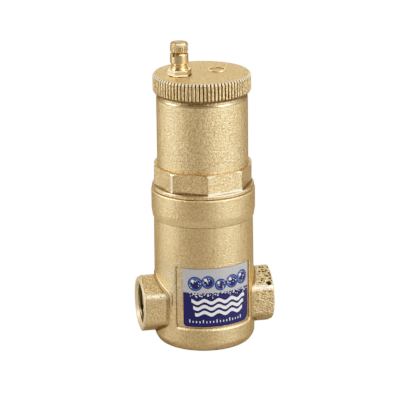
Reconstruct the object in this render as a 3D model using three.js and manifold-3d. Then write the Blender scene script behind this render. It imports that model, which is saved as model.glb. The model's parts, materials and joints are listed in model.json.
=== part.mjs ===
// In-line air separator with a float-operated automatic vent on top.
// Millimetres. X runs along the pipe, +Z is up, the label faces -Y, and the origin is the centre of the base.
import * as THREE from "three";
import { mergeVertices } from "three/addons/utils/BufferGeometryUtils.js";
import Module from "manifold-3d";

const wasm = await Module();
wasm.setup();

// ---------------------------------------------------------------- driving dimensions
const ROUND = 48; // facets round the large turned pieces
const PORT_ROUND = 32; // facets round the pipe ports
const SMALL_ROUND = 24; // facets round the vent valve's pieces
const WALL_STEPS = 16; // facets along the label and its pocket
const FINE_ROUND = 14; // facets round rods, pins and clips
const CUT_OVERRUN = 2; // how far a cutting tool runs past the face that it cuts

const PORT = {
  faceX: 39, // half of the 78 mm between the two pipe faces
  axisZ: 24,
  acrossFlats: 31,
  rootX: 20, // the hexagons start inside the round body
  boreR: 12.1, // core of a G 3/4 female thread
  mouthR: 13.3,
  mouthDepth: 1.2,
  endR: 16.4, // turned chamfer over the hexagon's corners
  chamferLength: 2.3,
};

const BODY = {
  baseR: 25.5,
  soleR: 27.5, // the underside curves up through the sole and the heel to the foot
  soleZ: 0.6,
  heelR: 28.8,
  heelZ: 2,
  footR: 29.5,
  footZ: 4.5,
  waistR: 29.2,
  waistZ: 44,
  neckR: 28.95,
  neckZ: 76.6,
  throatR: 29.7,
  throatZ: 78.6,
  collarR: 30.25,
  collarZ: 81.5,
  topZ: 93,
  topEdge: 0.4,
  cavityR: 25,
  floorZ: 6,
  floorEdge: 2.5,
  shoulderZ: 81,
  socketR: 26, // screw socket for the chamber
  sealR: 28.6, // pocket for the chamber's O-ring
  sealZ: 91,
};

const LABEL = {
  pocketFloorR: 28.45,
  pocketFromAngle: -47.5, // all four angles in degrees from the front, positive towards +X
  pocketToAngle: 52,
  pocketLowZ: 14.5,
  pocketHighZ: 52,
  fromAngle: -38,
  toAngle: 48.5,
  lowZ: 16,
  highZ: 51.5,
  innerR: 28.55,
  outerR: 28.8,
};

const CHAMBER = {
  spigotR: 25.6,
  spigotLowZ: 83.6,
  spigotEdge: 0.6,
  boreR: 22.5,
  flangeR: 29.7,
  flangeLowZ: 93.3,
  flangeEdge: 0.4,
  octagonLowZ: 95.6,
  octagonHighZ: 107.8,
  octagonR: 28.75, // over the corners; about 53 across flats
  octagonEndR: 27.3,
  octagonChamfer: 0.9,
  octagonCornerAngle: -96.4,
  wallR: 26.5,
  bandLowZ: 146.7, // bright machined band that narrows under the lid
  bandHighZ: 149.4,
  bandR: 25.85,
  threadR: 24.2,
  threadEdge: 0.5,
  topZ: 155.4,
};

const CHAMBER_O_RING = { radius: 27.1, wireR: 0.9, z: 92.1 };
const LID_O_RING = { radius: 23.35, wireR: 0.75, z: 156.3 };
const VALVE_GASKET = { innerR: 4.4, outerR: 6, lowZ: 160.4, highZ: 161 };

const LID = {
  lowZ: 149.7,
  lowR: 26.9,
  lowChamferZ: 151.5,
  topZ: 161,
  topChamfer: 0.5,
  ribs: 82,
  ribR: 28.4,
  grooveR: 27.8,
  faceR: 27.7,
  skirtR: 24.6,
  roofZ: 157.2,
  rodHoleR: 1.2,
  rodHoleZ: 159.4,
  valveHoleR: 4.05,
  gasketR: 6.3,
  gasketZ: 160.3,
  markX: 9.8, // plain raised ring on the lid
  markY: 3.8,
  markOuterR: 5.6,
  markInnerR: 4,
  markRoot: 0.5,
  markHeight: 0.5,
};

// The vent valve and the float linkage share one upright plane. It turns from +X by this angle,
// and the pieces below are placed in it: x outwards from the chamber's axis, z up.
const LINKAGE_ANGLE = 186.4;
const VALVE_X = 13.4;

const VALVE = {
  spigotLowZ: 154.3,
  spigotR: 3.9,
  hexLowZ: 161.2,
  hexHighZ: 164.5,
  hexAcrossFlats: 12.6,
  hexCornerAngle: -2.5, // in the object's frame
  hexEndR: 6.8,
  hexChamfer: 0.45,
  neckR: 4.4,
  barrelLowZ: 167.9,
  barrelHighZ: 174,
  barrelR: 5.35,
  barrelEdge: 0.4,
  threadR: 3.6,
  threadEdge: 0.4,
  topZ: 178,
  boreR: 2.6,
  seatZ: 163.3,
  outletR: 1,
  notchAngle: -142.5, // in the object's frame
  notchWidth: 1.8,
  notchDepth: 1.7,
  notchHeight: 1.5,
};

const CAP = {
  lowZ: 174.6,
  lowR: 4.85,
  lowChamferZ: 175.1,
  topZ: 180.2,
  ribs: 30,
  ribR: 5.35,
  grooveR: 5.05,
  shoulderZ: 178.8,
  crownR: 4.9,
  crownZ: 179.4,
  topR: 3.9,
  boreR: 3.85,
  roofZ: 179,
};

const CAP_SEAL = { radius: 3.4, lowZ: 178.3, highZ: 178.8 };

const LEVER = {
  pinX: 19,
  pinZ: 146,
  pinR: 0.85,
  pinHalfLength: 8.4,
  hubR: 1.9,
  hubHoleR: 1,
  hubHalfWidth: 5.6,
  tilt: 9.4, // degrees below level while the float is down
  thickness: 1.2,
  halfWidth: 2,
  forkHalfWidth: 5,
  forkHalfSlot: 2.8,
  forkBackX: 5,
  forkTipX: -1.2,
  forkLap: 2, // how far the arm runs into the fork
};

const FLOAT = {
  lowZ: 105,
  shoulderZ: 131,
  browR: 17, // the dome curves in through the brow and the crown
  browZ: 134,
  crownR: 11,
  crownZ: 137,
  topZ: 138,
  radius: 19,
  lowEdge: 2,
  domeR: 6,
  holeR: 1.4,
  spoolR: 2.4,
  flangeR: 4.6,
  slotLowZ: 141.4, // the fork works between these two heights
  slotHighZ: 144.4,
  flangeThickness: 0.8,
};

// ---------------------------------------------------------------- geometry helpers
const radians = THREE.MathUtils.degToRad;

function toSolid(geometry) {
  const bare = geometry.clone();
  bare.deleteAttribute("normal");
  bare.deleteAttribute("uv");
  const merged = mergeVertices(bare, 1e-4);
  return new wasm.Manifold(
    new wasm.Mesh({
      numProp: 3,
      vertProperties: merged.attributes.position.array,
      triVerts: merged.index.array,
    }),
  );
}

function toGeometry(solid) {
  const mesh = solid.getMesh();
  const geometry = new THREE.BufferGeometry();
  geometry.setAttribute("position", new THREE.BufferAttribute(mesh.vertProperties, 3));
  geometry.setIndex(new THREE.BufferAttribute(mesh.triVerts, 1));
  geometry.computeVertexNormals();
  return geometry;
}

// A profile of [radius, height] corners turned about Z. It runs anticlockwise, and either starts and
// ends on the axis or closes on itself.
function turned(profile, facets = ROUND) {
  const points = profile.map(([radius, height]) => new THREE.Vector2(radius, height));
  const onAxis = profile[0][0] === 0 && profile.at(-1)[0] === 0;
  if (!onAxis) points.push(points[0].clone());
  return new THREE.LatheGeometry(points, facets).rotateX(Math.PI / 2);
}

function plug(radius, lowZ, highZ, facets = ROUND) {
  return turned([[0, lowZ], [radius, lowZ], [radius, highZ], [0, highZ]], facets);
}

function sleeve(innerR, outerR, lowZ, highZ, facets = ROUND) {
  return turned([[innerR, lowZ], [outerR, lowZ], [outerR, highZ], [innerR, highZ]], facets);
}

function oRing({ radius, wireR, z }) {
  const wireFacets = 6;
  return new THREE.TorusGeometry(radius, wireR, wireFacets, SMALL_ROUND).translate(0, 0, z);
}

function upright(shape, lowZ, highZ, curveSegments = 12) {
  const settings = { depth: highZ - lowZ, bevelEnabled: false, curveSegments };
  return new THREE.ExtrudeGeometry(shape, settings).translate(0, 0, lowZ);
}

function outline(corners) {
  return new THREE.Shape(corners.map(([x, y]) => new THREE.Vector2(x, y)));
}

function polygon(sides, cornerR, cornerAngle = 0) {
  const corners = [];
  for (let side = 0; side < sides; side += 1) {
    const angle = radians(cornerAngle) + (side * 2 * Math.PI) / sides;
    corners.push([cornerR * Math.cos(angle), cornerR * Math.sin(angle)]);
  }
  return outline(corners);
}

function ribbed(ribs, ribR, grooveR) {
  const corners = [];
  for (let step = 0; step < 2 * ribs; step += 1) {
    const angle = (step * Math.PI) / ribs;
    const radius = step % 2 === 0 ? ribR : grooveR;
    corners.push([radius * Math.cos(angle), radius * Math.sin(angle)]);
  }
  return outline(corners);
}

// A band of a tube's wall between two angles, in degrees from the front (-Y) and positive towards +X.
function wallBand(innerR, outerR, fromAngle, toAngle, lowZ, highZ) {
  const from = radians(fromAngle - 90);
  const to = radians(toAngle - 90);
  const band = new THREE.Shape();
  band.absarc(0, 0, outerR, from, to, false);
  band.absarc(0, 0, innerR, to, from, true);
  return upright(band, lowZ, highZ, WALL_STEPS);
}

function block(lowX, highX, lowY, highY, lowZ, highZ) {
  return new THREE.BoxGeometry(highX - lowX, highY - lowY, highZ - lowZ).translate(
    (lowX + highX) / 2,
    (lowY + highY) / 2,
    (lowZ + highZ) / 2,
  );
}

// ---------------------------------------------------------------- separator body
function portHexagon(side) {
  const cornerR = PORT.acrossFlats / Math.sqrt(3);
  const outerR = cornerR + 1;
  const bar = toSolid(upright(polygon(6, cornerR), PORT.rootX, PORT.faceX));
  const chamfer = turned(
    [
      [0, PORT.rootX - CUT_OVERRUN],
      [outerR, PORT.rootX - CUT_OVERRUN],
      [outerR, PORT.faceX - PORT.chamferLength],
      [PORT.endR, PORT.faceX],
      [0, PORT.faceX],
    ],
    PORT_ROUND,
  );
  return alongPipe(bar.intersect(toSolid(chamfer)), side);
}

// Lays a solid that was made along +Z on the pipe axis, pointing to the +X (side 1) or -X (side -1) port.
function alongPipe(solid, side) {
  const laid = toGeometry(solid).rotateY((side * Math.PI) / 2).translate(0, 0, PORT.axisZ);
  return toSolid(laid);
}

function portBore(side) {
  const bore = turned(
    [
      [0, 0],
      [PORT.boreR, 0],
      [PORT.boreR, PORT.faceX - PORT.mouthDepth],
      [PORT.mouthR, PORT.faceX],
      [PORT.mouthR, PORT.faceX + CUT_OVERRUN],
      [0, PORT.faceX + CUT_OVERRUN],
    ],
    PORT_ROUND,
  );
  return alongPipe(toSolid(bore), side);
}

function bodyCasting() {
  const outside = turned([
    [0, 0],
    [BODY.baseR, 0],
    [BODY.soleR, BODY.soleZ],
    [BODY.heelR, BODY.heelZ],
    [BODY.footR, BODY.footZ],
    [BODY.waistR, BODY.waistZ],
    [BODY.neckR, BODY.neckZ],
    [BODY.throatR, BODY.throatZ],
    [BODY.collarR, BODY.collarZ],
    [BODY.collarR, BODY.topZ - BODY.topEdge],
    [BODY.collarR - BODY.topEdge, BODY.topZ],
    [0, BODY.topZ],
  ]);
  const inside = turned([
    [0, BODY.floorZ],
    [BODY.cavityR - BODY.floorEdge, BODY.floorZ],
    [BODY.cavityR, BODY.floorZ + BODY.floorEdge],
    [BODY.cavityR, BODY.shoulderZ],
    [BODY.socketR, BODY.shoulderZ],
    [BODY.socketR, BODY.sealZ],
    [BODY.sealR, BODY.sealZ],
    [BODY.sealR, BODY.topZ + CUT_OVERRUN],
    [0, BODY.topZ + CUT_OVERRUN],
  ]);
  const pocket = wallBand(
    LABEL.pocketFloorR,
    BODY.footR + CUT_OVERRUN,
    LABEL.pocketFromAngle,
    LABEL.pocketToAngle,
    LABEL.pocketLowZ,
    LABEL.pocketHighZ,
  );
  const casting = toSolid(outside)
    .add(portHexagon(1))
    .add(portHexagon(-1))
    .subtract(toSolid(inside))
    .subtract(portBore(1))
    .subtract(portBore(-1))
    .subtract(toSolid(pocket));
  return toGeometry(casting);
}

function labelPlate() {
  return wallBand(
    LABEL.innerR,
    LABEL.outerR,
    LABEL.fromAngle,
    LABEL.toAngle,
    LABEL.lowZ,
    LABEL.highZ,
  );
}

// ---------------------------------------------------------------- bubble separator
const CAGE = {
  outerR: 24,
  lowRingR: 22.4, // clear of the rounded floor
  innerR: 20.2,
  lowZ: 6.5,
  highZ: 62,
  ringHeight: 2.6,
  ribs: 6,
  firstRib: 30, // degrees from +X, so that the ribs stand clear of the two ports
  ribHalfWidth: 1.5,
  ribInnerR: 20.5,
  ribOuterR: 22.2,
  ribInset: 0.5,
};
const SLEEVE = { innerR: 19, outerR: 19.7, columns: 8, rows: 3, barWidth: 3 };
const BAFFLE = { radius: 25.6, lowZ: 81.3, highZ: 83.2, holes: 6, holeR: 4, holeCircleR: 15, centreR: 5 };

function separatorCage() {
  const lowRingHighZ = CAGE.lowZ + CAGE.ringHeight;
  const highRingLowZ = CAGE.highZ - CAGE.ringHeight;
  const lowRing = sleeve(CAGE.innerR, CAGE.lowRingR, CAGE.lowZ, lowRingHighZ, SMALL_ROUND);
  const highRing = sleeve(CAGE.innerR, CAGE.outerR, highRingLowZ, CAGE.highZ, SMALL_ROUND);
  let cage = toSolid(lowRing).add(toSolid(highRing));
  for (let rib = 0; rib < CAGE.ribs; rib += 1) {
    const bar = block(
      CAGE.ribInnerR,
      CAGE.ribOuterR,
      -CAGE.ribHalfWidth,
      CAGE.ribHalfWidth,
      CAGE.lowZ + CAGE.ribInset,
      CAGE.highZ - CAGE.ribInset,
    );
    bar.rotateZ(radians(CAGE.firstRib + (rib * 360) / CAGE.ribs));
    cage = cage.add(toSolid(bar));
  }
  return toGeometry(cage);
}

function separatorMesh() {
  const lowZ = CAGE.lowZ;
  const rowHeight = (CAGE.highZ - lowZ) / SLEEVE.rows;
  const columnWidth = (2 * Math.PI * SLEEVE.outerR) / SLEEVE.columns;
  let mesh = toSolid(sleeve(SLEEVE.innerR, SLEEVE.outerR, lowZ, CAGE.highZ, SMALL_ROUND));
  for (let row = 0; row < SLEEVE.rows; row += 1) {
    for (let column = 0; column < SLEEVE.columns; column += 1) {
      const window = block(
        SLEEVE.innerR - CUT_OVERRUN,
        SLEEVE.outerR + CUT_OVERRUN,
        (SLEEVE.barWidth - columnWidth) / 2,
        (columnWidth - SLEEVE.barWidth) / 2,
        lowZ + row * rowHeight + SLEEVE.barWidth / 2,
        lowZ + (row + 1) * rowHeight - SLEEVE.barWidth / 2,
      );
      window.rotateZ((column * 2 * Math.PI) / SLEEVE.columns);
      mesh = mesh.subtract(toSolid(window));
    }
  }
  return toGeometry(mesh);
}

function flowBaffle() {
  let disc = toSolid(sleeve(BAFFLE.centreR, BAFFLE.radius, BAFFLE.lowZ, BAFFLE.highZ, SMALL_ROUND));
  for (let hole = 0; hole < BAFFLE.holes; hole += 1) {
    const angle = (hole * 2 * Math.PI) / BAFFLE.holes;
    const drill = plug(
      BAFFLE.holeR,
      BAFFLE.lowZ - CUT_OVERRUN,
      BAFFLE.highZ + CUT_OVERRUN,
      FINE_ROUND,
    );
    drill.translate(BAFFLE.holeCircleR * Math.cos(angle), BAFFLE.holeCircleR * Math.sin(angle), 0);
    disc = disc.subtract(toSolid(drill));
  }
  return toGeometry(disc);
}

// ---------------------------------------------------------------- float chamber and lid
function floatChamber() {
  const edge = CHAMBER.flangeEdge;
  const flange = turned([
    [0, CHAMBER.flangeLowZ],
    [CHAMBER.flangeR - edge, CHAMBER.flangeLowZ],
    [CHAMBER.flangeR, CHAMBER.flangeLowZ + edge],
    [CHAMBER.flangeR, CHAMBER.octagonLowZ - edge],
    [CHAMBER.flangeR - edge, CHAMBER.octagonLowZ],
    [0, CHAMBER.octagonLowZ],
  ]);
  const octagon = upright(
    polygon(8, CHAMBER.octagonR, CHAMBER.octagonCornerAngle),
    CHAMBER.octagonLowZ - edge,
    CHAMBER.octagonHighZ,
  );
  const octagonEnds = turned([
    [0, CHAMBER.octagonLowZ - edge],
    [CHAMBER.octagonEndR, CHAMBER.octagonLowZ - edge],
    [CHAMBER.octagonR, CHAMBER.octagonLowZ + CHAMBER.octagonChamfer],
    [CHAMBER.octagonR, CHAMBER.octagonHighZ - CHAMBER.octagonChamfer],
    [CHAMBER.octagonEndR, CHAMBER.octagonHighZ],
    [0, CHAMBER.octagonHighZ],
  ]);
  const wall = turned([
    [0, CHAMBER.spigotLowZ],
    [CHAMBER.spigotR - CHAMBER.spigotEdge, CHAMBER.spigotLowZ],
    [CHAMBER.spigotR, CHAMBER.spigotLowZ + CHAMBER.spigotEdge],
    [CHAMBER.spigotR, CHAMBER.octagonLowZ],
    [CHAMBER.wallR, CHAMBER.octagonLowZ],
    [CHAMBER.wallR, CHAMBER.bandLowZ],
    [CHAMBER.bandR, CHAMBER.bandHighZ],
    [CHAMBER.threadR, CHAMBER.bandHighZ],
    [CHAMBER.threadR, CHAMBER.topZ - CHAMBER.threadEdge],
    [CHAMBER.threadR - CHAMBER.threadEdge, CHAMBER.topZ],
    [0, CHAMBER.topZ],
  ]);
  const bore = plug(CHAMBER.boreR, CHAMBER.spigotLowZ - CUT_OVERRUN, CHAMBER.topZ + CUT_OVERRUN);
  const chamber = toSolid(wall)
    .add(toSolid(flange))
    .add(toSolid(octagon).intersect(toSolid(octagonEnds)))
    .subtract(toSolid(bore));
  return toGeometry(chamber);
}

function atValve(geometry) {
  const angle = radians(LINKAGE_ANGLE);
  return geometry.translate(VALVE_X * Math.cos(angle), VALVE_X * Math.sin(angle), 0);
}

function lid() {
  const knurl = upright(ribbed(LID.ribs, LID.ribR, LID.grooveR), LID.lowZ, LID.topZ);
  const ends = turned([
    [0, LID.lowZ],
    [LID.lowR, LID.lowZ],
    [LID.ribR, LID.lowChamferZ],
    [LID.ribR, LID.topZ - LID.topChamfer],
    [LID.faceR, LID.topZ],
    [0, LID.topZ],
  ], 2 * LID.ribs);
  const hollow = plug(LID.skirtR, LID.lowZ - CUT_OVERRUN, LID.roofZ);
  const rodHole = plug(LID.rodHoleR, LID.roofZ - CUT_OVERRUN, LID.rodHoleZ, FINE_ROUND);
  const valveHole = plug(LID.valveHoleR, LID.roofZ - CUT_OVERRUN, LID.topZ, SMALL_ROUND);
  const gasketPocket = plug(LID.gasketR, LID.gasketZ, LID.topZ + CUT_OVERRUN, SMALL_ROUND);
  const mark = sleeve(
    LID.markInnerR,
    LID.markOuterR,
    LID.topZ - LID.markRoot,
    LID.topZ + LID.markHeight,
    SMALL_ROUND,
  );
  const cover = toSolid(knurl)
    .intersect(toSolid(ends))
    .add(toSolid(mark.translate(LID.markX, LID.markY, 0)))
    .subtract(toSolid(hollow))
    .subtract(toSolid(rodHole))
    .subtract(toSolid(atValve(valveHole)))
    .subtract(toSolid(atValve(gasketPocket)));
  return toGeometry(cover);
}

// ---------------------------------------------------------------- vent valve
// These pieces are turned about their own axis, and the linkage group places them.
function valveBody() {
  const hexR = VALVE.hexAcrossFlats / Math.sqrt(3);
  const turnedToFrame = -LINKAGE_ANGLE;
  const hexagon = upright(
    polygon(6, hexR, VALVE.hexCornerAngle + turnedToFrame),
    VALVE.hexLowZ,
    VALVE.hexHighZ,
  );
  const hexEnds = turned([
    [0, VALVE.hexLowZ],
    [VALVE.hexEndR, VALVE.hexLowZ],
    [hexR, VALVE.hexLowZ + VALVE.hexChamfer],
    [hexR, VALVE.hexHighZ - VALVE.hexChamfer],
    [VALVE.hexEndR, VALVE.hexHighZ],
    [0, VALVE.hexHighZ],
  ], SMALL_ROUND);
  const stalk = turned([
    [0, VALVE.spigotLowZ],
    [VALVE.spigotR, VALVE.spigotLowZ],
    [VALVE.spigotR, VALVE.hexLowZ + VALVE.hexChamfer],
    [VALVE.neckR, VALVE.hexLowZ + VALVE.hexChamfer],
    [VALVE.neckR, VALVE.barrelLowZ],
    [VALVE.barrelR - VALVE.barrelEdge, VALVE.barrelLowZ],
    [VALVE.barrelR, VALVE.barrelLowZ + VALVE.barrelEdge],
    [VALVE.barrelR, VALVE.barrelHighZ - VALVE.barrelEdge],
    [VALVE.barrelR - VALVE.barrelEdge, VALVE.barrelHighZ],
    [VALVE.threadR, VALVE.barrelHighZ],
    [VALVE.threadR, VALVE.topZ - VALVE.threadEdge],
    [VALVE.threadR - VALVE.threadEdge, VALVE.topZ],
    [0, VALVE.topZ],
  ], SMALL_ROUND);
  const passage = turned([
    [0, VALVE.spigotLowZ - CUT_OVERRUN],
    [VALVE.boreR, VALVE.spigotLowZ - CUT_OVERRUN],
    [VALVE.boreR, VALVE.seatZ],
    [VALVE.outletR, VALVE.seatZ],
    [VALVE.outletR, VALVE.topZ + CUT_OVERRUN],
    [0, VALVE.topZ + CUT_OVERRUN],
  ], SMALL_ROUND);
  const notch = block(
    VALVE.barrelR - VALVE.notchDepth,
    VALVE.barrelR + CUT_OVERRUN,
    -VALVE.notchWidth / 2,
    VALVE.notchWidth / 2,
    VALVE.barrelHighZ - VALVE.notchHeight,
    VALVE.barrelHighZ + CUT_OVERRUN,
  );
  notch.rotateZ(radians(VALVE.notchAngle + turnedToFrame));
  const body = toSolid(hexagon)
    .intersect(toSolid(hexEnds))
    .add(toSolid(stalk))
    .subtract(toSolid(passage))
    .subtract(toSolid(notch));
  return toGeometry(body);
}

function valveGasket() {
  const { innerR, outerR, lowZ, highZ } = VALVE_GASKET;
  return sleeve(innerR, outerR, lowZ, highZ, SMALL_ROUND);
}

function ventCap() {
  const knurl = upright(ribbed(CAP.ribs, CAP.ribR, CAP.grooveR), CAP.lowZ, CAP.topZ);
  const ends = turned([
    [0, CAP.lowZ],
    [CAP.lowR, CAP.lowZ],
    [CAP.ribR, CAP.lowChamferZ],
    [CAP.ribR, CAP.shoulderZ],
    [CAP.crownR, CAP.crownZ],
    [CAP.topR, CAP.topZ],
    [0, CAP.topZ],
  ], 2 * CAP.ribs);
  const bore = plug(CAP.boreR, CAP.lowZ - CUT_OVERRUN, CAP.roofZ, SMALL_ROUND);
  return toGeometry(toSolid(knurl).intersect(toSolid(ends)).subtract(toSolid(bore)));
}

const STEM = { lowZ: 146, highZ: 160.2, radius: 0.9, headR: 1.7, headZ: 159.4 };
const STEM_SEAL = { lowZ: 160.5, edgeZ: 161, highZ: 161.4, radius: 2.1, tipR: 1.2 };
const SPRING = {
  lowZ: 147.7,
  highZ: 152.9,
  radius: 1.9,
  wireR: 0.25,
  turns: 4,
  stepsPerTurn: 10,
  wireFacets: 3,
};
const GUIDE = { flangeLowZ: 153.2, flangeHighZ: 154, highZ: 156.6, flangeR: 3.4, sleeveR: 2.4, holeR: 1.15 };

function ventStem() {
  return turned([
    [0, STEM.lowZ],
    [STEM.radius, STEM.lowZ],
    [STEM.radius, STEM.headZ],
    [STEM.headR, STEM.headZ],
    [STEM.headR, STEM.highZ],
    [0, STEM.highZ],
  ], FINE_ROUND);
}

function stemSeal() {
  return turned([
    [0, STEM_SEAL.lowZ],
    [STEM_SEAL.radius, STEM_SEAL.lowZ],
    [STEM_SEAL.radius, STEM_SEAL.edgeZ],
    [STEM_SEAL.tipR, STEM_SEAL.highZ],
    [0, STEM_SEAL.highZ],
  ], FINE_ROUND);
}

function stemGuide() {
  return turned([
    [GUIDE.holeR, GUIDE.flangeLowZ],
    [GUIDE.flangeR, GUIDE.flangeLowZ],
    [GUIDE.flangeR, GUIDE.flangeHighZ],
    [GUIDE.sleeveR, GUIDE.flangeHighZ],
    [GUIDE.sleeveR, GUIDE.highZ],
    [GUIDE.holeR, GUIDE.highZ],
  ], FINE_ROUND);
}

function ventSpring() {
  const points = [];
  const steps = SPRING.turns * SPRING.stepsPerTurn;
  const rise = SPRING.highZ - SPRING.lowZ - 2 * SPRING.wireR;
  for (let step = 0; step <= steps; step += 1) {
    const angle = (step * 2 * Math.PI) / SPRING.stepsPerTurn;
    points.push(new THREE.Vector3(
      SPRING.radius * Math.cos(angle),
      SPRING.radius * Math.sin(angle),
      SPRING.lowZ + SPRING.wireR + (step / steps) * rise,
    ));
  }
  const wire = new THREE.Shape().absarc(0, 0, SPRING.wireR, 0, 2 * Math.PI, false);
  return new THREE.ExtrudeGeometry(wire, {
    extrudePath: new THREE.CatmullRomCurve3(points),
    steps,
    curveSegments: SPRING.wireFacets,
    bevelEnabled: false,
  });
}

// ---------------------------------------------------------------- float linkage
const BRACKET = {
  lowX: 8,
  highX: 20.4,
  halfWidth: 7,
  thickness: 0.9,
  plateLowZ: 156,
  earLowX: 17,
  earLowZ: 143.9,
  valveHoleR: 4.2,
};
const NUT = { outerR: 5.5, innerR: 4.2, lowZ: 153.8, highZ: 155.7 };
const ROD = { radius: 1, lowZ: 100, highZ: 159.1 };
// both clips sit just under the piece that they carry
const ROD_CLIP = { innerR: 1.15, outerR: 2.6, lowZ: 104, highZ: 104.7 };
const SPRING_CLIP = { innerR: 1.05, outerR: 2.6, lowZ: 146.8, highZ: 147.5 };
const PIN_CLIP = { outerR: 1.9, nearY: 7.3, farY: 7.9 };

// A round rod or hole along Y, the direction that the lever's pin runs in.
function alongY(radius, halfLength, x, z) {
  return new THREE.CylinderGeometry(radius, radius, 2 * halfLength, FINE_ROUND).translate(x, 0, z);
}

function leverBracket() {
  const plateHighZ = BRACKET.plateLowZ + BRACKET.thickness;
  const plate = block(
    BRACKET.lowX,
    BRACKET.highX,
    -BRACKET.halfWidth,
    BRACKET.halfWidth,
    BRACKET.plateLowZ,
    plateHighZ,
  );
  let bracket = toSolid(plate);
  for (const side of [-1, 1]) {
    const outer = side * BRACKET.halfWidth;
    const inner = side * (BRACKET.halfWidth - BRACKET.thickness);
    const ear = block(
      BRACKET.earLowX,
      BRACKET.highX,
      Math.min(inner, outer),
      Math.max(inner, outer),
      BRACKET.earLowZ,
      plateHighZ,
    );
    bracket = bracket.add(toSolid(ear));
  }
  const valveHole = plug(
    BRACKET.valveHoleR,
    BRACKET.plateLowZ - CUT_OVERRUN,
    plateHighZ + CUT_OVERRUN,
    SMALL_ROUND,
  ).translate(VALVE_X, 0, 0);
  const pinHole = alongY(LEVER.hubHoleR, BRACKET.halfWidth + CUT_OVERRUN, LEVER.pinX, LEVER.pinZ);
  return toGeometry(bracket.subtract(toSolid(valveHole)).subtract(toSolid(pinHole)));
}

function bracketNut() {
  const nut = toSolid(upright(polygon(6, NUT.outerR), NUT.lowZ, NUT.highZ));
  const hole = plug(NUT.innerR, NUT.lowZ - CUT_OVERRUN, NUT.highZ + CUT_OVERRUN, SMALL_ROUND);
  return toGeometry(nut.subtract(toSolid(hole)));
}

function leverPin() {
  return alongY(LEVER.pinR, LEVER.pinHalfLength, LEVER.pinX, LEVER.pinZ);
}

// A spring clip on the lever's pin, just outside one ear of the bracket.
function pinClip(side) {
  const lowY = side > 0 ? PIN_CLIP.nearY : -PIN_CLIP.farY;
  const highY = side > 0 ? PIN_CLIP.farY : -PIN_CLIP.nearY;
  return sleeve(LEVER.hubHoleR, PIN_CLIP.outerR, lowY, highY, FINE_ROUND)
    .rotateX(-Math.PI / 2)
    .translate(LEVER.pinX, 0, LEVER.pinZ);
}

function floatLever() {
  const half = LEVER.thickness / 2;
  const reach = LEVER.pinX - LEVER.forkBackX;
  const tip = LEVER.pinX - LEVER.forkTipX;
  // made level with the pin at the origin, the fork towards -x, and then tilted down
  const arm = block(-reach - LEVER.forkLap, 0, -LEVER.halfWidth, LEVER.halfWidth, -half, half);
  const fork = block(-tip, -reach, -LEVER.forkHalfWidth, LEVER.forkHalfWidth, -half, half);
  const slot = block(
    -tip - CUT_OVERRUN,
    -LEVER.pinX + LEVER.forkHalfSlot,
    -LEVER.forkHalfSlot,
    LEVER.forkHalfSlot,
    -half - CUT_OVERRUN,
    half + CUT_OVERRUN,
  );
  const hub = alongY(LEVER.hubR, LEVER.hubHalfWidth, 0, 0);
  const hole = alongY(LEVER.hubHoleR, LEVER.hubHalfWidth + CUT_OVERRUN, 0, 0);
  const lever = toSolid(arm)
    .add(toSolid(fork))
    .subtract(toSolid(slot))
    .add(toSolid(hub))
    .subtract(toSolid(hole));
  return toGeometry(lever)
    .rotateY(radians(-LEVER.tilt))
    .translate(LEVER.pinX, 0, LEVER.pinZ);
}

function guideRod() {
  return plug(ROD.radius, ROD.lowZ, ROD.highZ, FINE_ROUND);
}

function clip({ innerR, outerR, lowZ, highZ }) {
  return sleeve(innerR, outerR, lowZ, highZ, FINE_ROUND);
}

function floatBody() {
  const lowFlange = FLOAT.slotLowZ - FLOAT.flangeThickness;
  const highFlange = FLOAT.slotHighZ + FLOAT.flangeThickness;
  return turned([
    [FLOAT.holeR, FLOAT.lowZ],
    [FLOAT.radius - FLOAT.lowEdge, FLOAT.lowZ],
    [FLOAT.radius, FLOAT.lowZ + FLOAT.lowEdge],
    [FLOAT.radius, FLOAT.shoulderZ],
    [FLOAT.browR, FLOAT.browZ],
    [FLOAT.crownR, FLOAT.crownZ],
    [FLOAT.domeR, FLOAT.topZ],
    [FLOAT.spoolR, FLOAT.topZ],
    [FLOAT.spoolR, lowFlange],
    [FLOAT.flangeR, lowFlange],
    [FLOAT.flangeR, FLOAT.slotLowZ],
    [FLOAT.spoolR, FLOAT.slotLowZ],
    [FLOAT.spoolR, FLOAT.slotHighZ],
    [FLOAT.flangeR, FLOAT.slotHighZ],
    [FLOAT.flangeR, highFlange],
    [FLOAT.holeR, highFlange],
  ], SMALL_ROUND);
}

// ---------------------------------------------------------------- materials
function material(color, roughness, metalness) {
  return new THREE.MeshStandardMaterial({ color, roughness, metalness });
}

const castBrass = material(0xc8ac7d, 0.5, 1);
const turnedBrass = material(0xd8bb84, 0.28, 1);
const steel = material(0xb4b6b8, 0.3, 1);
const rubber = material(0x1c1c1e, 0.85, 0);
const nylon = material(0x2e3034, 0.6, 0);
const whitePlastic = material(0xe8e6df, 0.5, 0);
const labelFilm = material(0x2d2d6e, 0.35, 0);

// ---------------------------------------------------------------- assembly
const airVent = new THREE.Group();

const linkage = new THREE.Group();
linkage.rotation.z = radians(LINKAGE_ANGLE);
airVent.add(linkage);

const valve = new THREE.Group();
valve.position.x = VALVE_X;
linkage.add(valve);

function place(group, name, geometry, finish) {
  const mesh = new THREE.Mesh(geometry, finish);
  mesh.name = name;
  group.add(mesh);
}

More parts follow.
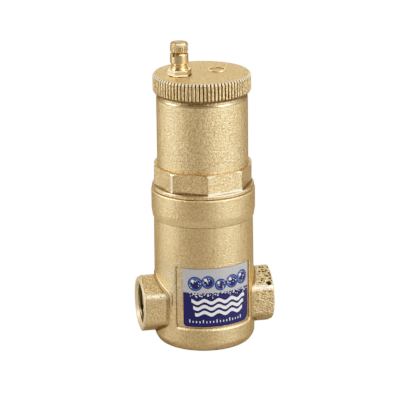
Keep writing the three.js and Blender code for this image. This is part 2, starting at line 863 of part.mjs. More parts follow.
place(airVent, "body_casting", bodyCasting(), castBrass);
place(airVent, "label_plate", labelPlate(), labelFilm);
place(airVent, "separator_cage", separatorCage(), nylon);
place(airVent, "separator_mesh", separatorMesh(), steel);
place(airVent, "flow_baffle", flowBaffle(), nylon);
place(airVent, "chamber_o_ring", oRing(CHAMBER_O_RING), rubber);
place(airVent, "float_chamber", floatChamber(), castBrass);
place(airVent, "lid_o_ring", oRing(LID_O_RING), rubber);
place(airVent, "lid", lid(), castBrass);
place(valve, "valve_gasket", valveGasket(), rubber);
place(valve, "valve_body", valveBody(), turnedBrass);
place(valve, "stem_guide", stemGuide(), nylon);
place(valve, "vent_spring", ventSpring(), steel);
place(valve, "vent_stem", ventStem(), steel);
place(valve, "stem_seal", stemSeal(), rubber);
place(valve, "spring_clip", clip(SPRING_CLIP), steel);
place(valve, "bracket_nut", bracketNut(), turnedBrass);
place(valve, "cap_seal", plug(CAP_SEAL.radius, CAP_SEAL.lowZ, CAP_SEAL.highZ, FINE_ROUND), rubber);
place(valve, "vent_cap", ventCap(), turnedBrass);
place(linkage, "lever_bracket", leverBracket(), steel);
place(linkage, "lever_pin", leverPin(), steel);
place(linkage, "pin_clip_left", pinClip(-1), steel);
place(linkage, "pin_clip_right", pinClip(1), steel);
place(linkage, "float_lever", floatLever(), steel);
place(linkage, "guide_rod", guideRod(), steel);
place(linkage, "rod_clip", clip(ROD_CLIP), steel);
place(linkage, "float", floatBody(), whitePlastic);

export default airVent;
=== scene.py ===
"""Compact in-line air separator with an automatic float vent: its looks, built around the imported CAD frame.

Lengths are in millimetres in the shape code and become metres when a mesh is made.
"""

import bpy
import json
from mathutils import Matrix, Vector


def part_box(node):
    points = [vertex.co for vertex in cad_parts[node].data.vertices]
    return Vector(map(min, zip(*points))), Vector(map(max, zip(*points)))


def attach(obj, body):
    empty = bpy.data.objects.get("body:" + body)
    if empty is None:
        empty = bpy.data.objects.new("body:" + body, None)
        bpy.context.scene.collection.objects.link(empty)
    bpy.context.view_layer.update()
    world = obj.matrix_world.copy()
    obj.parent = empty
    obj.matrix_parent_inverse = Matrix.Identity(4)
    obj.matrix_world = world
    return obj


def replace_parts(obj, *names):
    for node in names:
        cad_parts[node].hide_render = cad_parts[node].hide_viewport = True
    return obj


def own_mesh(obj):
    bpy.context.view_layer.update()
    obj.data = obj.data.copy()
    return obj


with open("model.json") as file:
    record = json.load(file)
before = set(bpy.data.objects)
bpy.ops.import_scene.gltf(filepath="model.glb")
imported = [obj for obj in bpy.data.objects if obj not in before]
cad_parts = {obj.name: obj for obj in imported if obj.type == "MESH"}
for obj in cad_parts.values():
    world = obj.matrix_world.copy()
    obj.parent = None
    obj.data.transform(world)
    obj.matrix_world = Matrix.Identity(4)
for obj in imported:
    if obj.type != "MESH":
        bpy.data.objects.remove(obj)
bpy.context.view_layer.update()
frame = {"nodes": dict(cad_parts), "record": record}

import json
import math

import bpy
import numpy as np
import openvdb
from mathutils import Quaternion, Vector

MM = 0.001
TURN = 2 * math.pi


# ---- places taken from the frame
def box_mm(node):
    """Lowest and highest corner of a CAD node, in millimetres."""
    low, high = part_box(node)
    return [value / MM for value in low], [value / MM for value in high]


def heights(node):
    """The heights of a CAD node's bottom and top, in millimetres."""
    low, high = box_mm(node)
    return low[2], high[2]


def joint_place_mm(name):
    """The point on a hinge's axis, in millimetres."""
    for joint in frame["record"]["behaviour"]["joints"]:
        if joint["name"] == name:
            return [value / MM for value in joint["pos_m"]]


_, BODY_HIGH = box_mm("body_casting")
CHAMBER_BOTTOM, CHAMBER_TOP = heights("float_chamber")
LID_BOTTOM, _ = heights("lid")
VALVE_BOTTOM, VALVE_TOP = heights("valve_body")
CAP_BOTTOM, CAP_TOP = heights("vent_cap")
GASKET_BOTTOM, GASKET_TOP = heights("valve_gasket")
FLOAT_BOTTOM, FLOAT_TOP = heights("float")
LABEL_BOTTOM, LABEL_TOP = heights("label_plate")
SLEEVE_BOTTOM, SLEEVE_TOP = heights("separator_mesh")
SPRING_BOTTOM, SPRING_TOP = heights("vent_spring")
VALVE_X, VALVE_Y, _ = joint_place_mm("cap_turn")

PORT_FACE_X = BODY_HIGH[0]
PORT_Z = 24.0
PORT_ACROSS_FLATS = 31.0
BODY_TOP = BODY_HIGH[2]
LID_TOP = 161.0
FRONT = -math.pi / 2  # the angle about Z that faces -Y, where the label is


# ---- mesh making
def mesh_of(name, vertices, faces):
    """A mesh from millimetre vertices."""
    mesh = bpy.data.meshes.new(name)
    mesh.from_pydata((np.asarray(vertices) * MM).tolist(), [], faces)
    return mesh


def in_scene(name, data):
    """A new object in the scene."""
    thing = bpy.data.objects.new(name, data)
    bpy.context.collection.objects.link(thing)
    return thing


def skin(rings):
    """Faces between neighbouring rings of vertex numbers. A ring of one vertex is a tip."""
    faces = []
    for lower, upper in zip(rings, rings[1:]):
        count = max(len(lower), len(upper))
        for i in range(count):
            corners = [(lower, i), (lower, i + 1), (upper, i + 1), (upper, i)]
            faces.append(list(dict.fromkeys(ring[k % len(ring)] for ring, k in corners)))
    return faces


def add_object(name, vertices, faces, body, finish):
    """A smooth-shaded mesh object from millimetre vertices, riding on a CAD body.

    finish is its material, or a rule for paint().
    """
    mesh = mesh_of(name, vertices, faces)
    mesh.validate()
    mesh.polygons.foreach_set("use_smooth", [True] * len(mesh.polygons))
    if signed_volume(mesh) < 0:
        mesh.flip_normals()
    piece = in_scene(name, mesh)
    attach(piece, body)
    paint(piece, finish if callable(finish) else lambda x, y, z, upness: finish)
    return piece


def signed_volume(mesh):
    """Volume inside a closed mesh, negative when its faces point inwards."""
    mesh.calc_loop_triangles()
    corners = np.empty(len(mesh.loop_triangles) * 3, dtype=np.int32)
    mesh.loop_triangles.foreach_get("vertices", corners)
    points = np.empty(len(mesh.vertices) * 3)
    mesh.vertices.foreach_get("co", points)
    a, b, c = points.reshape(-1, 3)[corners.reshape(-1, 3)].transpose(1, 0, 2)
    return float(np.einsum("ij,ij->i", a, np.cross(b, c)).sum())


def crisp(piece, degrees):
    """Keeps the edges that bend by more than this sharp."""
    piece.data.set_sharp_from_angle(angle=math.radians(degrees))


def paint(piece, rule):
    """Gives each face the material that rule(x, y, z, upness) says, in millimetres."""
    numbers = {}
    for face in piece.data.polygons:
        material = rule(*(value / MM for value in face.center), face.normal.z)
        if material not in numbers:
            numbers[material] = len(numbers)
            piece.data.materials.append(material)
        face.material_index = numbers[material]


def bored(piece, x, y, radius, low, high, steps=64):
    """Cuts an upright hole through a piece."""
    angles = np.arange(steps) * TURN / steps
    ring = np.stack([x + radius * np.cos(angles), y + radius * np.sin(angles)], axis=1)
    vertices = [(*point, height) for height in (low, high) for point in ring]
    lower, upper = list(range(steps)), list(range(steps, 2 * steps))
    drill = in_scene("drill", mesh_of("drill", vertices, [lower[::-1], upper, *skin([lower, upper])]))
    cut = piece.modifiers.new("hole", "BOOLEAN")
    cut.operation, cut.solver, cut.object = "DIFFERENCE", "EXACT", drill
    whole = piece.evaluated_get(bpy.context.evaluated_depsgraph_get())
    piece.data = bpy.data.meshes.new_from_object(whole)
    piece.modifiers.remove(cut)
    bpy.data.objects.remove(drill)


ARC_STEPS = 5


def rounded(profile):
    """Turns (radius, height, fillet, section) corners into rows, with an arc where there's a fillet.

    fillet and section may be left out. A section is a function of (angle, radius, height) that gives the
    outline's radius at that row.
    """
    corners = [tuple(corner) + (0, None)[len(corner) - 2:] for corner in profile]
    last = len(corners) - 1
    closed = corners[0][0] > 0
    rows = []
    for index, (radius, height, fillet, section) in enumerate(corners):
        if fillet == 0 or (not closed and index in (0, last)):
            rows.append((radius, height, section))
            continue
        here = np.array([radius, height], dtype=float)
        before = np.array(corners[index - 1][:2]) - here
        after = np.array(corners[(index + 1) % (last + 1)][:2]) - here
        room = 0.49 * min(np.linalg.norm(before), np.linalg.norm(after))
        before /= np.linalg.norm(before)
        after /= np.linalg.norm(after)
        half = math.acos(max(-1, min(1, before @ after))) / 2
        if half > math.radians(89):
            rows.append((radius, height, section))
            continue
        reach = min(room, fillet / math.tan(half))
        arc_radius = reach * math.tan(half)
        middle = (before + after) / np.linalg.norm(before + after)
        centre = here + middle * arc_radius / math.sin(half)
        start = here + before * reach - centre
        end = here + after * reach - centre
        sweep = math.pi - 2 * half
        for step in range(ARC_STEPS + 1):
            share = step / ARC_STEPS
            spoke = math.sin((1 - share) * sweep) * start + math.sin(share * sweep) * end
            point = centre + spoke / math.sin(sweep)
            rows.append((point[0], point[1], section))
    return rows


def guarded(rows, margin=0.35):
    """Adds rows just inside both ends of the long walls, so that the paler edges (wear and painted highlight)
    stay at the edges.
    """
    result = [rows[0]]
    for before, after in zip(rows, rows[1:]):
        length = math.hypot(after[0] - before[0], after[1] - before[1])
        if length > 3 * margin and before[0] > 0 and after[0] > 0:
            for share in (margin / length, 1 - margin / length):
                radius = before[0] + (after[0] - before[0]) * share
                height = before[1] + (after[1] - before[1]) * share
                result.append((radius, height, after[2] if after[2] is before[2] else None))
        result.append(after)
    return result


def stretch(low, high, step, radius, section):
    """Rows at an even step up (or down) a straight wall, for a thread."""
    count = max(2, round(abs(high - low) / step))
    return [(radius, low + (high - low) * i / count, 0, section) for i in range(count + 1)]


def revolve(name, profile, segments, body, finish, at=(0, 0)):
    """A closed piece turned about an upright axis. The profile ends on the axis or closes on itself."""
    angles = np.arange(segments) * TURN / segments
    vertices, rings = [], []
    for radius, height, section in guarded(rounded(profile)):
        start = len(vertices)
        if radius == 0:
            vertices.append((*at, height))
        else:
            radii = section(angles, radius, height) if section else np.full(segments, radius)
            xs, ys = at[0] + radii * np.cos(angles), at[1] + radii * np.sin(angles)
            vertices += zip(xs, ys, [height] * segments)
        rings.append(list(range(start, len(vertices))))
    if len(rings[0]) > 1:
        rings.append(rings[0])
    return add_object(name, vertices, skin(rings), body, finish)


# ---- outlines that aren't round
def polygonal(sides, corner_angle, sharpness):
    """A regular polygon with rounded corners, whose row radius is the one over its corners."""
    normals = corner_angle + (np.arange(sides) + 0.5) * TURN / sides
    inner = math.cos(math.pi / sides)

    def section(angles, radius, height):
        facing = np.maximum(np.cos(angles[:, None] - normals[None, :]), 0)
        return radius * inner / (facing ** sharpness).sum(axis=1) ** (1 / sharpness)

    return section


def clipped(section, low, high):
    """The same outline, kept between two radii."""
    return lambda angles, radius, height: np.clip(section(angles, radius, height), low, high)


def knurled(ribs, groove_radius, groove_share, deep_from=math.inf, deeper=0.0):
    """Straight V grooves cut down to groove_radius, each groove_share of the pitch wide.

    Above the height deep_from the cutter went in deeper.
    """

    def section(angles, radius, height):
        phase = np.abs((angles * ribs / TURN + 0.5) % 1 - 0.5)
        cut = np.clip(1 - 2 * phase / groove_share, 0, 1) ** 0.85
        floor = groove_radius - deeper * min(1, max(0, height - deep_from))
        return radius - cut * max(0, radius - floor)

    return section


def threaded(pitch, depth, fade_low=None, fade_high=None):
    """A helical thread of rounded V form. A positive depth stands outwards from the row radius."""

    def section(angles, radius, height):
        phase = np.abs((height / pitch - angles / TURN) % 1 - 0.5) * 2
        ridge = np.clip(phase * 1.25 - 0.125, 0, 1)
        ridge = ridge * ridge * (3 - 2 * ridge) * 0.35 + ridge * 0.65
        scale = 1.0
        if fade_low is not None:
            scale *= min(1, max(0, (height - fade_low) / pitch))
        if fade_high is not None:
            scale *= min(1, max(0, (fade_high - height) / pitch))
        return radius + depth * scale * ridge

    return section


# ---- distance fields, for the casting
def profile_distance(points, radius, height):
    """Signed distance from (radius, height) to a closed outline of points: negative inside."""
    distance = np.full(radius.shape, np.inf)
    inside = np.zeros(radius.shape, dtype=bool)
    for (ax, ay), (bx, by) in zip(points, points[1:] + points[:1]):
        ex, ey = bx - ax, by - ay
        length = ex * ex + ey * ey
        if length == 0:
            continue
        along = np.clip(((radius - ax) * ex + (height - ay) * ey) / length, 0, 1)
        distance = np.minimum(distance, np.hypot(radius - ax - along * ex, height - ay - along * ey))
        crosses = (ay > height) != (by > height)
        if ey != 0:
            inside ^= crosses & (radius < ex * (height - ay) / ey + ax)
    return np.where(inside, -distance, distance)


class TurnedField:
    """Signed distance to a turned solid, looked up in a table over radius and height."""

    step, low = 0.1, -4
    radii, heights = np.arange(0, 46, step), np.arange(low, BODY_TOP + 4, step)

    def __init__(self, profile):
        rows = [(radius, height) for radius, height, _ in rounded(profile)]
        grid_r, grid_z = np.meshgrid(self.radii, self.heights, indexing="ij")
        mirrored = [(-radius, height) for radius, height in reversed(rows)]
        self.table = profile_distance(rows + mirrored, grid_r, grid_z)

    def __call__(self, radius, height):
        r = np.clip(radius / self.step, 0, len(self.radii) - 1.001)
        z = np.clip((height - self.low) / self.step, 0, len(self.heights) - 1.001)
        i, j = r.astype(int), z.astype(int)
        u, v = r - i, z - j
        table = self.table
        lower = table[i, j] * (1 - u) + table[i + 1, j] * u
        upper = table[i, j + 1] * (1 - u) + table[i + 1, j + 1] * u
        return lower * (1 - v) + upper * v


def blend_union(a, b, size):
    """Union with a fillet about as wide as size."""
    overlap = np.maximum(size - np.abs(a - b), 0) / size
    return np.minimum(a, b) - overlap * overlap * size / 4


def blend_meet(a, b, size):
    """Intersection with its edges rounded."""
    return -blend_union(-a, -b, size)


CASTING_STEP, FINE_STEP, FINE_REACH = 0.42, 0.15, 0.8


def spaced(low, high, fine=()):
    """Grid positions from low to high that get closer together near the fine ones."""
    places = [low]
    while places[-1] < high:
        near = any(abs(places[-1] - place) < FINE_REACH for place in fine)
        places.append(places[-1] + (FINE_STEP if near else CASTING_STEP))
    return np.array(places)


BEND_REACH = 0.45


def mesh_field(name, field, grid_lines, body, finish):
    """Meshes the surface where a distance field is zero, and draws its vertices on to the exact surface.

    Its bend attribute is 0.5 on flat parts, more on edges and less in creases.
    """
    grid_y, grid_z = np.meshgrid(grid_lines[1], grid_lines[2], indexing="ij")
    values = np.empty([len(lines) for lines in grid_lines], dtype=np.float32)
    for i, x in enumerate(grid_lines[0]):
        values[i] = field(np.full(grid_y.shape, x), grid_y, grid_z)
    grid = openvdb.FloatGrid(3.0)
    grid.copyFromArray(values)
    cells, quads = grid.convertToQuads(0.0)
    columns = [np.interp(cell, np.arange(len(lines)), lines) for cell, lines in zip(cells.T, grid_lines)]
    points = np.stack(columns, axis=1)
    nudge = 0.02
    for _ in range(3):
        here = field(*points.T)
        slope = np.stack(
            [field(*(points + nudge * axis).T) - here for axis in np.eye(3)], axis=1
        ) / nudge
        size = np.maximum((slope * slope).sum(axis=1), 0.2)
        move = -(here / size)[:, None] * slope
        reach = np.linalg.norm(move, axis=1, keepdims=True)
        points += move * np.minimum(1, 0.3 / np.maximum(reach, 1e-9))
    piece = add_object(name, points, quads.tolist(), body, finish)
    bend = -6 * field(*points.T)
    for axis in np.eye(3) * BEND_REACH:
        bend += field(*(points + axis).T) + field(*(points - axis).T)
    attribute = piece.data.attributes.new("bend", "FLOAT", "POINT")
    attribute.data.foreach_set("value", 0.5 + bend / BEND_REACH / 4)
    return piece


# ---- materials
class Material:
    """A principled material with short helpers for its procedural nodes."""

    def __init__(self, name, color, roughness, metallic=0.0, specular=0.5):
        self.material = bpy.data.materials.new(name)
        self.material.use_nodes = True
        self.nodes = self.material.node_tree.nodes
        self.shader = self.nodes["Principled BSDF"]
        self.put(color, self.shader.inputs["Base Color"])
        self.put(roughness, self.shader.inputs["Roughness"])
        self.put(metallic, self.shader.inputs["Metallic"])
        self.put(specular, self.shader.inputs["Specular IOR Level"])
        self.place = self.node("TexCoord").outputs["Object"]

    def put(self, value, socket):
        """Links an output to a socket, or gives the socket a number, a point or an RGB colour."""
        if isinstance(value, bpy.types.NodeSocket):
            self.material.node_tree.links.new(value, socket)
        elif socket.type == "RGBA":
            socket.default_value = (*value, 1)
        else:
            socket.default_value = value

    def node(self, kind, **inputs):
        """A new node. An input's name has an underscore where Blender's has a space."""
        node = self.nodes.new("ShaderNode" + kind)
        for name, value in inputs.items():
            self.put(value, node.inputs[name.replace("_", " ")])
        return node

    def noise(self, scale, detail=3.0, rough=0.55, stretch=None):
        place = self.place
        if stretch:
            place = self.node("Mapping", Scale=stretch, Vector=place).outputs[0]
        node = self.node("TexNoise", Scale=scale, Detail=detail, Roughness=rough, Vector=place)
        return node.outputs["Fac"]

    def cells(self, scale):
        return self.node("TexVoronoi", Scale=scale, Vector=self.place).outputs["Distance"]

    def ranged(self, value, low, high, to_low, to_high):
        """Goes from to_low to to_high while the value goes from low to high, and stays level outside."""
        ends = {"From_Min": low, "From_Max": high, "To_Min": to_low, "To_Max": to_high}
        return self.node("MapRange", Value=value, **ends).outputs["Result"]

    def maths(self, operation, first, second):
        node = self.node("Math")
        node.operation = operation
        self.put(first, node.inputs[0])
        self.put(second, node.inputs[1])
        return node.outputs["Value"]

    def blend(self, share, first, second):
        """Mixes two colours, each an RGB tuple or a socket, by a share."""
        node = self.node("Mix")
        node.data_type = "RGBA"
        for name, value in (("Factor", share), ("A", first), ("B", second)):
            self.put(value, node.inputs[name])
        return node.outputs["Result"]

    def sharpness(self, measured=False):
        """How much an edge stands out (over 0.5) or a corner sinks in (under 0.5)."""
        if not measured:
            return self.node("NewGeometry").outputs["Pointiness"]
        node = self.node("Attribute")
        node.attribute_name = "bend"
        return node.outputs["Fac"]

    def facing(self, up_from, up_to, start, end):
        """Goes from start to end while the surface's upward lean goes from up_from to up_to."""
        split = self.node("SeparateXYZ", Vector=self.node("NewGeometry").outputs["Normal"])
        return self.ranged(split.outputs["Z"], up_from, up_to, start, end)

    def distance(self, point):
        node = self.node("VectorMath")
        node.operation = "DISTANCE"
        self.put(self.place, node.inputs[0])
        self.put(point, node.inputs[1])
        return node.outputs["Value"]

    def finished(self, color, roughness, height, depth):
        """The material, with its colour, its roughness and a bump of this depth in metres."""
        normal = self.node("Bump", Height=height, Distance=depth).outputs["Normal"]
        for name, value in (("Base Color", color), ("Roughness", roughness), ("Normal", normal)):
            self.put(value, self.shader.inputs[name])
        return self.material


BRASS_LIGHT = (0.86, 0.575, 0.255)
BRASS_MID = (0.78, 0.495, 0.20)
BRASS_DARK = (0.40, 0.22, 0.07)
BRASS_EDGE = (0.96, 0.74, 0.42)
# Dark brass for creases: painted shade.
CREASE_SHADE = (0.13, 0.077, 0.031)
BRASS_GLANCING = (0.92, 0.74, 0.48)
PAINTED_SHADE_BRASS = (0.6, 0.47, 0.27)
FLOOR_LIGHT_BRASS = (1.0, 0.67, 0.29)
PIT_BRASS = (0.03, 0.015, 0.006)


def cast_brass(
    name, grain=1.0, pits=0.0, measured=False, matte=0.32, light=BRASS_LIGHT, mid=BRASS_MID,
    floor_light_below=False, shade_at=None,
):
    """Sand-blasted brass: a leather-like grain, soft stains, and edges that are paler partly from polish and
    partly as a painted highlight; creases get painted shade.

    Pits are denser where the surface looks up. Looking down it can be painted paler, as light from the floor,
    and round a given point it can be painted duller, as painted shade.
    """
    m = Material(name, mid, matte, 1.0)
    m.put(BRASS_GLANCING, m.shader.inputs["Specular Tint"])
    coarse = m.noise(880, detail=2.0)
    fine = m.noise(1500, detail=3.0, rough=0.7)
    speck = m.noise(1250, detail=2.0, rough=0.6)
    stain = m.noise(45, detail=4.0)
    tone = m.blend(m.ranged(stain, 0.35, 0.65, 0.15, 0.75), mid, light)
    # Faces that look down are painted paler: painted light standing in for light from the floor.
    if floor_light_below:
        tone = m.blend(m.facing(-0.02, -0.16, 0.0, 0.85), tone, FLOOR_LIGHT_BRASS)
    # Painted shade: duller, greyer brass round the given point, which holds back a reflected glow there.
    if shade_at:
        tone = m.blend(m.ranged(m.distance(shade_at), 0.006, 0.017, 0.85, 0.0), tone, PAINTED_SHADE_BRASS)
    tone = m.blend(m.ranged(speck, 0.41, 0.5, 0.6 * grain, 0.0), tone, BRASS_DARK)
    tone = m.blend(m.ranged(speck, 0.5, 0.59, 0.0, 0.55 * grain), tone, BRASS_EDGE)
    grain_height = m.maths("MULTIPLY", m.maths("ADD", coarse, fine), 0.7)
    if pits:
        pit = m.ranged(m.cells(640), 0.34, 0.46, 1.0, 0.0)
        sparse = m.ranged(m.noise(380, detail=1.0), 0.35, 0.45, 0.1, 1.0)
        pit = m.maths("MULTIPLY", pit, m.maths("MULTIPLY", sparse, m.facing(0.15, 0.4, 0.3 * pits, pits)))
        tone = m.blend(pit, tone, PIT_BRASS)
        grain_height = m.maths("SUBTRACT", grain_height, m.maths("MULTIPLY", pit, 2.0))
    sharp = m.sharpness(measured)
    # Edges are painted paler, partly as wear and partly as a highlight; creases are painted darker as shade.
    edge = m.ranged(sharp, 0.55, 0.68, 0.0, 0.5)
    tone = m.blend(edge, tone, BRASS_EDGE)
    shade_in_creases = m.ranged(sharp, 0.43, 0.49, 0.8, 0.0)
    tone = m.blend(shade_in_creases, tone, CREASE_SHADE)
    gloss = m.ranged(m.noise(700, detail=2.0), 0.3, 0.7, matte - 0.06, matte + 0.08)
    gloss = m.maths("SUBTRACT", gloss, m.maths("MULTIPLY", edge, 0.12))
    return m.finished(tone, gloss, grain_height, 0.0004 * grain)


def turned_brass(name, rough=0.1, tone_light=BRASS_LIGHT, tone_mid=BRASS_MID, metallic=1.0):
    """Machined brass: bright, with faint tool rings round an upright axis."""
    m = Material(name, tone_light, rough, metallic)
    m.put(BRASS_GLANCING, m.shader.inputs["Specular Tint"])
    rings = m.noise(1.0, detail=3.0, stretch=(60, 60, 5200))
    tone = m.blend(m.ranged(m.noise(180, detail=3.0), 0.3, 0.7, 0.0, 0.6), tone_light, tone_mid)
    # Edges are painted paler, partly as wear and partly as a highlight; creases are painted darker as shade.
    edge = m.ranged(m.sharpness(), 0.515, 0.58, 0.0, 0.8)
    tone = m.blend(edge, tone, BRASS_EDGE)
    tone = m.blend(m.ranged(m.sharpness(), 0.4, 0.485, 0.9, 0.0), tone, CREASE_SHADE)
    return m.finished(tone, m.ranged(rings, 0.3, 0.7, rough - 0.04, rough + 0.08), rings, 0.000012)


def stainless(name):
    m = Material(name, (0.55, 0.56, 0.57), 0.28, 1.0)
    streaks = m.noise(1.0, detail=3.0, stretch=(300, 300, 4000))
    tone = m.blend(m.ranged(streaks, 0.3, 0.7, 0.0, 1.0), (0.48, 0.49, 0.5), (0.62, 0.63, 0.64))
    return m.finished(tone, m.ranged(m.noise(400), 0.3, 0.7, 0.2, 0.38), streaks, 0.00001)


def rubber(name):
    m = Material(name, (0.012, 0.012, 0.013), 0.6, 0.0, 0.4)
    bloom = m.ranged(m.noise(220, detail=4.0), 0.45, 0.75, 0.0, 0.5)
    tone = m.blend(bloom, (0.011, 0.011, 0.012), (0.04, 0.04, 0.042))
    gloss = m.ranged(m.noise(900), 0.3, 0.7, 0.5, 0.75)
    return m.finished(tone, gloss, m.noise(3000, detail=2.0), 0.00002)


def moulded(name, color, pale, rough):
    """Injection-moulded plastic with a faint sparkle of glass fibre."""
    m = Material(name, color, rough, 0.0, 0.45)
    tone = m.blend(m.ranged(m.noise(350, detail=4.0), 0.45, 0.75, 0.0, 0.7), color, pale)
    gloss = m.ranged(m.noise(700), 0.3, 0.7, rough - 0.1, rough + 0.12)
    return m.finished(tone, gloss, m.noise(2400, detail=2.0), 0.000025)


def printed(name, color, pale, rough=0.3, metallic=0.0, specular=0.4):
    """Printed film: even colour with a faint orange-peel gloss and tiny rub marks."""
    m = Material(name, color, rough, metallic, specular)
    tone = m.blend(m.ranged(m.noise(420, detail=4.0), 0.55, 0.8, 0.0, 0.5), color, pale)
    gloss = m.ranged(m.noise(600), 0.3, 0.7, rough - 0.08, rough + 0.1)
    return m.finished(tone, gloss, m.noise(1500, detail=2.0), 0.000012)


CAST = cast_brass("cast_brass", grain=1.1)
# Beside the inlet's top, the body gets a patch of painted shade.
BODY_CAST = cast_brass("body_brass", grain=0.75, measured=True, shade_at=(-0.025, -0.016, 0.041))
# The collar's downward faces get painted floor light.
COLLAR_CAST = cast_brass("collar_brass", grain=0.75, measured=True, floor_light_below=True)
OUTLET_CAST = cast_brass("outlet_brass", grain=1.1, pits=1.0, measured=True)
# The first tones paint the ports' tops lighter, as painted light; the second paint highlight strips on their
# corners.
LIT_TOP_TONES, HIGHLIGHT_TONES = ((1.0, 0.8, 0.45), (0.97, 0.74, 0.38)), ((1.0, 0.84, 0.58), (0.96, 0.78, 0.5))
INLET_TOP_LIT = cast_brass("inlet_top_lit_brass", 1.0, 0.35, True, 0.3, *LIT_TOP_TONES)
OUTLET_TOP_LIT = cast_brass("outlet_top_lit_brass", 1.2, 1.0, True, 0.3, *LIT_TOP_TONES)
# Pale brass for strips along the ports' side corners: a painted highlight.
CORNER_HIGHLIGHT_CAST = cast_brass("corner_highlight_brass", 0.9, 0.15, True, 0.3, *HIGHLIGHT_TONES)
LID_CAST = cast_brass("lid_brass", grain=1.2, matte=0.44, light=(0.92, 0.68, 0.38), mid=(0.86, 0.61, 0.31))
# Dark brass for grooves, notches and narrow bands: painted shade.
GROOVE_SHADE = cast_brass("groove_shade_brass", grain=0.6, light=(0.2, 0.127, 0.055), mid=(0.12, 0.071, 0.028))
# Dark brass for the chamber's flat ledges: painted shade.
LEDGE_SHADE = cast_brass("ledge_shade_brass", grain=0.6, light=(0.46, 0.36, 0.23), mid=(0.38, 0.28, 0.17))
PALE_BRASS, WARM_BRASS = (0.84, 0.6, 0.3), (0.76, 0.5, 0.22)
TURNED = turned_brass("turned_brass", 0.18, (0.92, 0.7, 0.4), (0.84, 0.6, 0.3))
CHAMFER = turned_brass("chamfer_brass", 0.16, (0.88, 0.7, 0.45), (0.8, 0.6, 0.35))
PORT_RING = turned_brass("port_ring_brass", 0.4, (0.86, 0.64, 0.34), (0.8, 0.56, 0.28), metallic=0.6)
LID_RIM = turned_brass("rim_brass", 0.25, PALE_BRASS, WARM_BRASS)
PORT_MOUTH = turned_brass("port_mouth_brass", 0.3, (0.95, 0.72, 0.4), (0.9, 0.66, 0.34), metallic=0.4)
# Pale, partly diffuse brass: a painted highlight on rib tips, one octagon face and corner, and the cap's
# edge.
HIGHLIGHT_BRASS = turned_brass("highlight_brass", 0.4, (1.0, 0.86, 0.6), (0.97, 0.8, 0.5), metallic=0.3)
VALVE_BRASS = turned_brass("valve_brass", 0.14, (0.84, 0.58, 0.27), (0.74, 0.47, 0.19))
CAP_BRASS = turned_brass("cap_brass", 0.28, (0.78, 0.54, 0.25), (0.68, 0.44, 0.18))
# Dark brass for the cap's top: painted shade against the backdrop's reflection.
CAP_TOP_SHADE = turned_brass("cap_top_shade_brass", 0.42, (0.4, 0.25, 0.1), (0.35, 0.21, 0.08))
TURNED_DULL = turned_brass("thread_brass", rough=0.26)
# Near-black brass for the threads deep in the ports: painted shade.
BORE_SHADE = turned_brass("bore_shade_brass", 0.3, (0.07, 0.042, 0.018), (0.04, 0.024, 0.01))
# Near-black for inside the blowhole: painted shade.
BLOWHOLE_SHADE = moulded("blowhole_shade", (0.01, 0.008, 0.006), (0.03, 0.02, 0.015), 0.6)
STEEL = stainless("stainless_steel")
RUBBER = rubber("seal_rubber")
NYLON = moulded("black_nylon", (0.02, 0.02, 0.022), (0.06, 0.06, 0.062), 0.5)
POLYPROPYLENE = moulded("float_plastic", (0.72, 0.7, 0.64), (0.8, 0.79, 0.75), 0.45)
SILVER_INK = printed("label_silver", (0.42, 0.42, 0.44), (0.5, 0.5, 0.52), 0.34, 0.35)
NAVY_INK = printed("label_navy", (0.006, 0.006, 0.06), (0.012, 0.012, 0.09), 0.42, 0, 0.15)
BLUE_INK = printed("label_blue", (0.03, 0.07, 0.27), (0.07, 0.13, 0.36))
WHITE_INK = printed("label_white", (0.78, 0.77, 0.76), (0.6, 0.6, 0.62))


# ---- separator body
FOOT_RADIUS = 29.5
POCKET_FLOOR = 28.45
POCKET_FROM, POCKET_TO = math.radians(-47.5), math.radians(52)
POCKET_LOW, POCKET_HIGH = 14.5, 52.0
BARREL_SIDE = 28.4  # where the ports grow out of the barrel
COLLAR_EDGE = 76.6
POCKET_CORNER = 1.6
POCKET_SLOPE = 1.2  # of the lower wall, which leans outwards
PORT_CORNER_ROUND, PORT_END_ROUND = 2.2, 0.7
PORT_FILLET = 1.2  # where the hexagons meet the barrel
PORT_CONE_RADIUS = 16.6  # of the turned cone that takes the hexagon's corners off
BORE_RADIUS = 13.0  # bore of the casting, lined by the thread pieces

body_outside = TurnedField([
    (0, 0), (27.0, 0, 4.2), (FOOT_RADIUS, 4.6, 5), (29.2, 44), (28.95, COLLAR_EDGE - 0.1),
    (29.6, COLLAR_EDGE + 0.05), (30.25, 81.0, 7), (30.25, BODY_TOP - 0.5, 0.2),
    (29.85, BODY_TOP, 0.2), (0, BODY_TOP),
])
body_inside = TurnedField([
    (0, 6), (25, 6, 2.5), (25, 81), (26, 81), (26, 91), (28.6, 91), (28.6, BODY_TOP + 6),
    (0, BODY_TOP + 6),
])


def hexagonal_port(x, y, z):
    """The two hexagons for a spanner, corners up and down, with turned ends."""
    up = z - PORT_Z
    flat = PORT_ACROSS_FLATS / 2
    faces = np.abs(y)
    for lean in (-1, 1):
        face = np.abs(y * math.cos(math.pi / 3) + lean * up * math.sin(math.pi / 3))
        faces = blend_meet(faces, face, PORT_CORNER_ROUND)
    end = np.abs(x) - (PORT_FACE_X - 0.35)
    from_axis = np.hypot(y, up)
    turned_end = (from_axis - PORT_CONE_RADIUS + 0.75 * end) * 0.8
    hexagon = blend_meet(faces - flat, end, PORT_END_ROUND)
    return blend_meet(hexagon, turned_end, 0.5)


